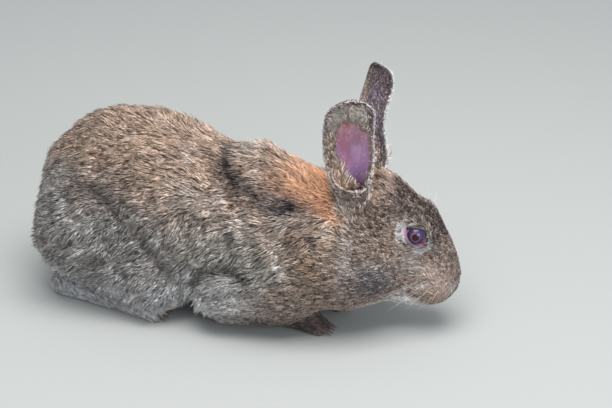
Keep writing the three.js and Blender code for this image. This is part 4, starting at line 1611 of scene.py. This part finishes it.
def ear_thickness(along, across):
    """Thickness of the sheet in millimetres: less towards the tip and the rim."""
    return (2.3 - 1.1 * along) * (1 - 0.45 * np.abs(across) ** 3)


def ear_points(name, along, across, face):
    """Points of an ear. face is 1 on its back, -1 on its hollow side, and more than 1 above them."""
    root, lengthwise, facing, sideways = ear_axes(name)
    edge = OUTER_EDGE[name]
    half_arc, radius = ear_arc(along)
    angle = across * half_arc + math.radians(64) * fade(along, 0.34, 0.06) * edge
    curl = 1.2 * np.abs(across) ** 6 * fade(along, 0.35, 0.6) * fade(along, 0.99, 0.8)
    ripple = 0.4 * np.sin(9 * along + 2.1 * across) * np.abs(across) ** 3
    distance = radius + face * ear_thickness(along, across) / 2 - curl + ripple
    bow = 3 * np.sin(math.pi * along) - LEAN[name] * fade(along, 0.4, 1)
    ahead = radius - bow - EAR_ROOT_HALF - np.cos(angle) * distance
    aside = SWAY[name] * edge * np.sin(math.pi * along) + np.sin(angle) * distance
    local = lengthwise * (along * EAR_LENGTH)[:, None] + facing * ahead[:, None] + sideways * aside[:, None]
    return root + local * MM


half_arcs, radii = ear_arc(np.linspace(0, 1, 50))
widest = round(float((2 * half_arcs * radii).max()))
print("an ear is", EAR_LENGTH, "mm long and, laid flat, at most", widest, "mm wide")

# %% [markdown]
# Inside the ear the fur stops and thin pink skin shows. Its border is given as a short list of places,
# farther back in the middle of the ear than at its root and tip. One function measures how deep a place
# lies behind that border, and the finish of the skin and the fur of the ear both ask it, so they always
# meet.

# %% The bare skin in the ears
REAR_OF_OPENING = [  # (along, side) of the rear border of the bare skin
    (0, -0.6), (0.06, -0.48), (0.12, -0.28), (0.25, 0.06), (0.36, 0.36),
    (0.48, 0.5), (0.6, 0.52), (0.7, 0.42), (0.78, 0.12),
]
FRONT_OF_OPENING = -0.9


def bare_depth(name, along, across):
    """Millimetres from a place on the hollow side to the edge of the bare skin, above 0 inside it."""
    side = across * OUTER_EDGE[name]
    half_arc, radius = ear_arc(along)
    rear = (np.interp(along, *zip(*REAR_OF_OPENING)) - side) * half_arc * radius
    front = (side - FRONT_OF_OPENING) * half_arc * radius
    top = (0.76 - 0.1 * fade(side, -0.2, -0.6) - along) * EAR_LENGTH
    return np.minimum(np.minimum(rear, front), top)


def ear_rim_distance(along, across):
    """Millimetres from a place on the sheet to its rim."""
    half_arc, radius = ear_arc(along)
    return np.minimum((1 - np.abs(across)) * half_arc * radius, (EAR_END - along) * EAR_LENGTH)


middle_depth = bare_depth("left", np.array([0.5]), np.array([0.0]))
print("half way up an ear, the bare skin reaches", round(float(middle_depth[0])), "mm behind its middle")

# %% [markdown]
# The skin of an ear is so thin that light glows through it and veins show. A full skin shader with many
# layers would be slow and hard to steer. A little subsurface light is enough, over pink that turns from
# mauve at the root to red-brown higher up, with painted soft highlights from noise and faint veins drawn
# by the borders of a bent Voronoi pattern. Deep in the tube a painted shade darkens it, and the back of
# the sheet has the colour of hide.

# %% Skin of the ears
def ear_mesh(name):
    """The closed sheet of an ear, and where each of its points lies on the sheet."""
    share = np.linspace(0, 1, 76)
    alongs = EAR_START + (EAR_END - EAR_START) * (1 - (1 - share) ** 1.35)
    over = np.linspace(-1, 1, 37)
    across = np.concatenate([over, [1.0], over[::-1], [-1.0]])
    face = np.concatenate([np.full(len(over), 1.0), [0.0], np.full(len(over), -1.0), [0.0]])
    rings = [ear_points(name, np.full(len(face), along), across, face) for along in alongs]
    mesh = mesh_of_rings(name, rings)
    places = [np.repeat(alongs, len(face)), np.tile(across, len(alongs)), np.tile(face, len(alongs))]
    ends = ([EAR_START, EAR_END], [0, 0], [0, 0])
    return mesh, [np.append(values, end) for values, end in zip(places, ends)]


def ear_material():
    material, tree, shader = new_finish("ear_skin_finish", 0.55)
    (along, across, inside), stored = stored_numbers(tree, "ear")
    place = add_node(tree, "ShaderNodeCombineXYZ", {"X": along, "Y": across}).outputs[0]
    soft = add_node(tree, "ShaderNodeTexNoise", {"Vector": place, "Scale": 5.0, "Detail": 3.0}).outputs["Fac"]
    pink = mix(tree, rescale(tree, along, 0.3, 0.75), shade(146, 112, 154), shade(128, 84, 84))
    middle = calc(tree, "ABSOLUTE", calc(tree, "SUBTRACT", across, 0.55))
    pink = mix(tree, rescale(tree, middle, 0.02, 0.16, 0.55, 0.0), pink, shade(142, 76, 82))
    # painted highlights: soft paler patches on the pink skin
    pink = mix(tree, rescale(tree, soft, 0.4, 0.62, 0.0, 0.4), pink, shade(178, 148, 172))
    bent = add_node(tree, "ShaderNodeTexNoise", {"Vector": place, "Scale": 3.2, "Detail": 2.0})
    moved = {0: place, 1: bent.outputs["Color"]}
    offset = add_node(tree, "ShaderNodeVectorMath", moved, operation="ADD").outputs[0]
    cells = {"Vector": offset, "Scale": 4.0}
    veins = add_node(tree, "ShaderNodeTexVoronoi", cells, feature="DISTANCE_TO_EDGE").outputs["Distance"]
    pink = mix(tree, rescale(tree, veins, 0.0, 0.08, 0.16, 0.0), pink, shade(128, 60, 84))
    # painted shade: darker deep in the tube of the ear
    pink = mix(tree, rescale(tree, along, 0.25, 0.02, 0.0, 0.8), pink, shade(70, 30, 52))
    hide = mix(tree, soft, shade(84, 70, 66), shade(120, 98, 90))
    inside = calc(tree, "MULTIPLY", inside, stored["Alpha"])
    tree.links.new(mix(tree, inside, hide, pink), shader.inputs["Base Color"])
    shader.inputs["Subsurface Weight"].default_value = 0.15
    shader.inputs["Subsurface Radius"].default_value = (0.006, 0.002, 0.0015)
    shader.inputs["Subsurface Scale"].default_value = 0.4
    return material


EAR_FINISH = ear_material()
print("ear skin:", len(EAR_FINISH.node_tree.nodes), "nodes")

# %% [markdown]
# The ear's fur is short and dense on the back, darker towards the tip, and edged with a pale rim, and one
# side of the back carries a bluish painted shade. Inside, only the upper part and the borders are furred.
# It grows by the same locks as the body's coat, but its roots know their place on the sheet. So the
# direction, the length and the colours can all be said in the ear's own terms, such as how near the rim is.

# %% Colours of the ears
EAR_PALETTE = {
    "Back": shade(186, 164, 148),
    "Nape": shade(178, 170, 160),
    "Flank": shade(158, 138, 130),
    "Dark": shade(62, 50, 56),
    # painted bluish shade
    "Blue": shade(112, 106, 136),
    "Pale": shade(240, 238, 236),
    "Tip": shade(236, 228, 218),
    "Black Tipped": 0.46,
}
EAR_COAT_FINISH = coat_material("ear_coat_finish", EAR_PALETTE)


def ear_lies(name, roots, ups, along, across, back, near_rim, seed):
    """The way the fur of an ear lies: up along it, and outwards over the rim."""
    side_face = np.where(back, 1.0, -1.0)
    step = 0.004
    here = ear_points(name, along, across, side_face)
    lengthwise = unit(ear_points(name, along + step, across, side_face) - here)
    outwards = unit(ear_points(name, along, across + step, side_face) - here) * np.sign(across)[:, None]
    spill = np.where(back, 0.25 * near_rim, 0.35 + 0.5 * near_rim)[:, None]
    swirl = (~back)[:, None] * fade(along, 0.7, 0.85)[:, None] * 0.7 * waves(roots, 0.03, seed)[:, None]
    return unit(lengthwise * (1 - 0.5 * near_rim[:, None]) + outwards * (spill + swirl) + ups * 0.05)


def ear_zones(name, roots, along, across, back, clump, seed):
    """The zones of colour of an ear's fur."""
    rim = ear_rim_distance(along, across)
    depth = bare_depth(name, along, across)
    side = across * OUTER_EDGE[name]
    deep = fade(rim, 3, 8) * ~back
    on_bare = ~back * fade(depth, 0, 3)
    rim_white = fade(rim + 0.35 * waves(roots, 0.004, seed + 3), 1.1, 0.4)
    rim_white = rim_white * (1 - 0.85 * fade(along, 0.4, 0.2) * (side > 0))
    rim_white *= 1 - 0.7 * back * fade(along, 0.8, 0.95)
    fuzz = fade(along, 0.3, 0.1) * np.exp(-(((side - 0.2) / 0.25) ** 2)) * back
    hairline = ~back * np.exp(-(((depth + 1) / 1.6) ** 2)) * fade(along, 0.5, 0.3) * fade(side, -0.7, -0.5)
    tip_dark = fade(along, 0.62, 0.95) * back
    ticked = ~back * fade(rim, 9, 2) * (0.3 + 0.3 * fade(along, 0.7, 0.85))
    tick = (clump * 17.3) % 1
    ticked = ticked + ~back * fade(rim, 14, 8) * (0.5 * (tick < 0.35) - 0.1)
    ticked_pale = ~back * fade(rim, 12, 6) * 0.55 * (tick > 0.7)
    # painted shade: a bluish cast on one side of the ear's back
    ear_side_shade = back * fade(side, 0.5, -0.2) * fade(along, 0.2, 0.5)

    zones = dict.fromkeys(ZONES, np.zeros(len(roots)))
    zones["pale"] = np.clip(rim_white + 0.75 * fuzz + 0.6 * hairline + 0.5 * on_bare + ticked_pale, 0, 1)
    shaded = 0.85 * tip_dark + 0.35 * back * fade(rim, 8, 2) + ticked
    zones["dark"] = np.clip(shaded, 0, 1) * (1 - zones["pale"])
    zones["blue"] = 0.75 * ear_side_shade
    zones["flank"] = 0.7 * back
    zones["nape"] = deep * 0.9 * fade(along, 0.6, 0.72)
    zones["tan"] = ~back * 0.5 * fade(along, 0.72, 0.6) * (1 - on_bare)
    return zones


print("what the ears change in the markings:", ", ".join(EAR_PALETTE))

# %% Fur of the ears
def ear_coat(name, mesh, places, seed):
    along, across, face = places
    rim = ear_rim_distance(along, across)
    on_back = face > 0.5
    depth = bare_depth(name, along, across)
    furred = np.where(face < -0.5, fade(depth, 2.5, -1.0), 1.0)
    crowd = (105 + 100 * fade(rim, 5, 1)) * (0.02 + 0.98 * furred) * 1.0
    crowd = np.where(along > np.where(on_back, -0.05, 0.03), crowd, 0)
    roots, ups, held = spread_over(mesh, crowd, [along, across, face], seed)
    along, across, face = held
    back = face > 0.3
    rim = ear_rim_distance(along, across)
    near_rim = fade(rim, 5, 0.8) * (1 - 0.6 * fade(along, 0.85, 0.95))
    lies = ear_lies(name, roots, ups, along, across, back, near_rim, seed)
    deep = fade(rim, 3, 8) * ~back
    on_bare = ~back * fade(bare_depth(name, along, across), 0, 3)
    root_part = fade(along, 0.4, 0.1)
    length = 4.2 - 2.0 * near_rim + 3.5 * deep * fade(along, 0.5, 0.7) + 3.5 * root_part
    length *= (1 - 0.35 * fade(along, 0.86, 0.96)) * (1 - 0.4 * on_bare)
    length += 3.5 * fade(rim, 4, 1) * fade(along, 0.36, 0.2)
    width = 0.6 - 0.12 * near_rim - 0.2 * on_bare + 0.3 * root_part
    height = 0.8 + 1.0 * root_part + 0.2 * near_rim
    sizes = (length * MM, height * MM, width * MM)
    clump_size = np.full(len(roots), 3)
    locks, strand, clump = lock_points(roots, ups, lies, *sizes, 0.25, seed, clump_size)
    zones = ear_zones(name, roots, along, across, back, clump, seed)
    own_map = np.column_stack([along + 2 * back, across])
    fur = lock_mesh(f"coat_ear_{name}", locks, strand, clump, zones, own_map)
    fur.materials.append(EAR_COAT_FINISH)
    piece = add_object(f"coat_ear_{name}", fur)
    print(f"coat_ear_{name}: {len(fur.polygons)} triangles")


for seed, name in ((71, "left"), (81, "right")):
    sheet, places = ear_mesh(name)
    inside = (places[2] < -0.5).astype(float)
    bare = fade(bare_depth(name, places[0], places[1]), -0.5, 2.5)
    write_colour(sheet, "ear", [places[0], 0.5 + 0.5 * places[1], inside, bare])
    sheet.materials.append(EAR_FINISH)
    add_object(f"ear_sheet_{name}", sheet, f"ear_{name}")
    ear_coat(name, sheet, places, seed)

# %% [markdown]
# ## Claws and whiskers
# A claw is a curved cone, pressed flat from side to side, and a whisker is a thin tube. Blender can
# thicken a curve with a bevel, but that becomes a mesh only later. So one function sweeps a small ring
# along a curve and serves both.

# %% Tubes
def tube(curve, radii, around=6, flat=1.0):
    """Rings of points swept along a curve. flat below 1 narrows them from side to side."""
    along = unit(np.gradient(curve, axis=0))
    up = np.array([0, 0, 1.0])
    sideways = unit(np.cross(along, up) + 1e-6)
    upward = unit(np.cross(sideways, along))
    angle = np.linspace(0, 2 * math.pi, around, endpoint=False)
    cos, sin = np.cos(angle)[None, :, None], np.sin(angle)[None, :, None]
    ring = flat * cos * sideways[:, None] + sin * upward[:, None]
    return curve[:, None] + ring * radii[:, None, None]


def join(name, meshes):
    """One mesh from several."""
    whole = bmesh.new()
    for mesh in meshes:
        whole.from_mesh(mesh)
        bpy.data.meshes.remove(mesh)
    joined = bpy.data.meshes.new(name)
    whole.to_mesh(joined)
    whole.free()
    return joined


def mottled_finish(name, roughness, base, scale, dark, light):
    """Horn in two tones that change along the piece. scale says how fast. base lies under the noise."""
    material, tree, shader = new_finish(name, roughness)
    place = add_node(tree, "ShaderNodeTexCoord").outputs["Object"]
    noise = add_node(tree, "ShaderNodeTexNoise", {"Vector": place, "Scale": scale, "Detail": 2.0})
    shader.inputs["Base Color"].default_value = base
    tree.links.new(mix(tree, noise.outputs["Fac"], dark, light), shader.inputs["Base Color"])
    return material

# %% [markdown]
# A rabbit shows four claws on each foot, of brown horn, half hidden in fur. Each could be modelled by
# hand on its own toe. Since the toes stand in a row, a loop can place them all from four numbers of the
# foot, in the same places where the solid model has them.

# %% Claws
FEET = {  # last toe joint on the left side of the trunk's axes, toe length, toe radius and width of the foot
    "hind": ((-148, 55, 10), 17, 5.5, 27),
    "fore": ((-4, 22, 9.5), 15, 5, 24),
}
CLAW_TONES = (shade(60, 46, 40), 420.0, shade(44, 33, 30), shade(104, 84, 70))
CLAW_FINISH = mottled_finish("claw_finish", 0.34, *CLAW_TONES)
CLAW_RADIUS = 1.9 * MM
CLAW_TIP = 0.12 * MM


def claw(toe, toe_length, toe_radius, aside, side):
    """One claw on a toe that stands aside from the middle of its foot, in millimetres."""
    share = np.linspace(0, 1, 9)
    reach = 0.6 * toe_length + toe_radius + 3.5
    x = toe[0] + 0.4 * toe_length + reach * share
    y = side * toe[1] + aside + 0 * share
    z = toe_radius + 1.5 - 4.5 * share**2
    curve = TRUNK.place(np.column_stack([x, y, z]))
    radii = CLAW_RADIUS * (1 - share**1.6) ** 0.7 + CLAW_TIP
    return mesh_of_rings("claw", tube(curve, radii, around=8, flat=0.7))


for foot, (toe, toe_length, toe_radius, foot_width) in FEET.items():
    for side, side_name in ((1, "left"), (-1, "right")):
        asides = [rank / 3 * (foot_width - 2 * toe_radius) for rank in (-1.5, -0.5, 0.5, 1.5)]
        claws = [claw(toe, toe_length, toe_radius, aside, side) for aside in asides]
        claw_mesh = join(f"claws_{foot}_{side_name}", claws)
        claw_mesh.materials.append(CLAW_FINISH)
        nodes = [f"claw_{foot}_{side_name}_{number}" for number in (1, 2, 3, 4)]
        add_object(f"claws_{foot}_{side_name}", claw_mesh, *nodes)
        print(f"claws_{foot}_{side_name}:", len(claws), "claws")

# %% [markdown]
# Whiskers are stiff hairs in rows on the pads of the muzzle, with a few more above each eye. They bend
# down under their own weight and end in nothing. Flat strips would be lighter, but they vanish when seen
# from the edge. So each one is a closed tube, about a third of a millimetre thick at its root.

# %% Whiskers
WHISKER_TONES = (shade(205, 196, 188), 60.0, shade(120, 108, 100), shade(225, 220, 214))
WHISKER_FINISH = mottled_finish("whisker_finish", 0.4, *WHISKER_TONES)
WHISKER_RADIUS = 0.17 * MM
WHISKER_TIP = 0.02 * MM
WHISKER_ROWS = 4
WHISKER_COLUMNS = 5
BROW_WHISKERS = 3


def whisker(root, way, length, droop):
    """A whisker from a root in the head's axes, on either side."""
    share = np.linspace(0, 1, 9)[:, None]
    straight = np.array(root) + unit(np.array(way)) * length * share
    curve = straight + np.array([-0.1, 0, -1]) * droop * share**2
    radii = WHISKER_RADIUS * (1 - share[:, 0]) ** 0.8 + WHISKER_TIP
    placed = HEAD.place(curve)
    placed[:, 2] = np.maximum(placed[:, 2], 0.4 * MM)  # no whisker goes through the floor
    return mesh_of_rings("whisker", tube(placed, radii, around=5))


for side, side_name in ((1, "left"), (-1, "right")):
    draw = np.random.default_rng(91 + side)
    hairs = []
    for row in range(WHISKER_ROWS):
        for column in range(WHISKER_COLUMNS):
            root = (57 - 4.2 * column + draw.normal(0, 0.5), side * (9.5 + 1.6 * column), -13 - 4.3 * row)
            way = (0.25 - 0.22 * column, side * 1.0, 0.35 - 0.28 * row + draw.normal(0, 0.08))
            hairs.append(whisker(root, way, 20 + 6.5 * column + draw.normal(0, 3), 3 + 1.5 * column))
    for number in range(BROW_WHISKERS):
        root = (-4 + 5 * number, side * 22, 15)
        hairs.append(whisker(root, (0.3 * number - 0.9, side * 0.9, 0.6), 16 + 2 * number, 4))
    whisker_mesh = join(f"whiskers_{side_name}", hairs)
    whisker_mesh.materials.append(WHISKER_FINISH)
    add_object(f"whiskers_{side_name}", whisker_mesh)
    print(f"whiskers_{side_name}:", len(hairs), "whiskers")
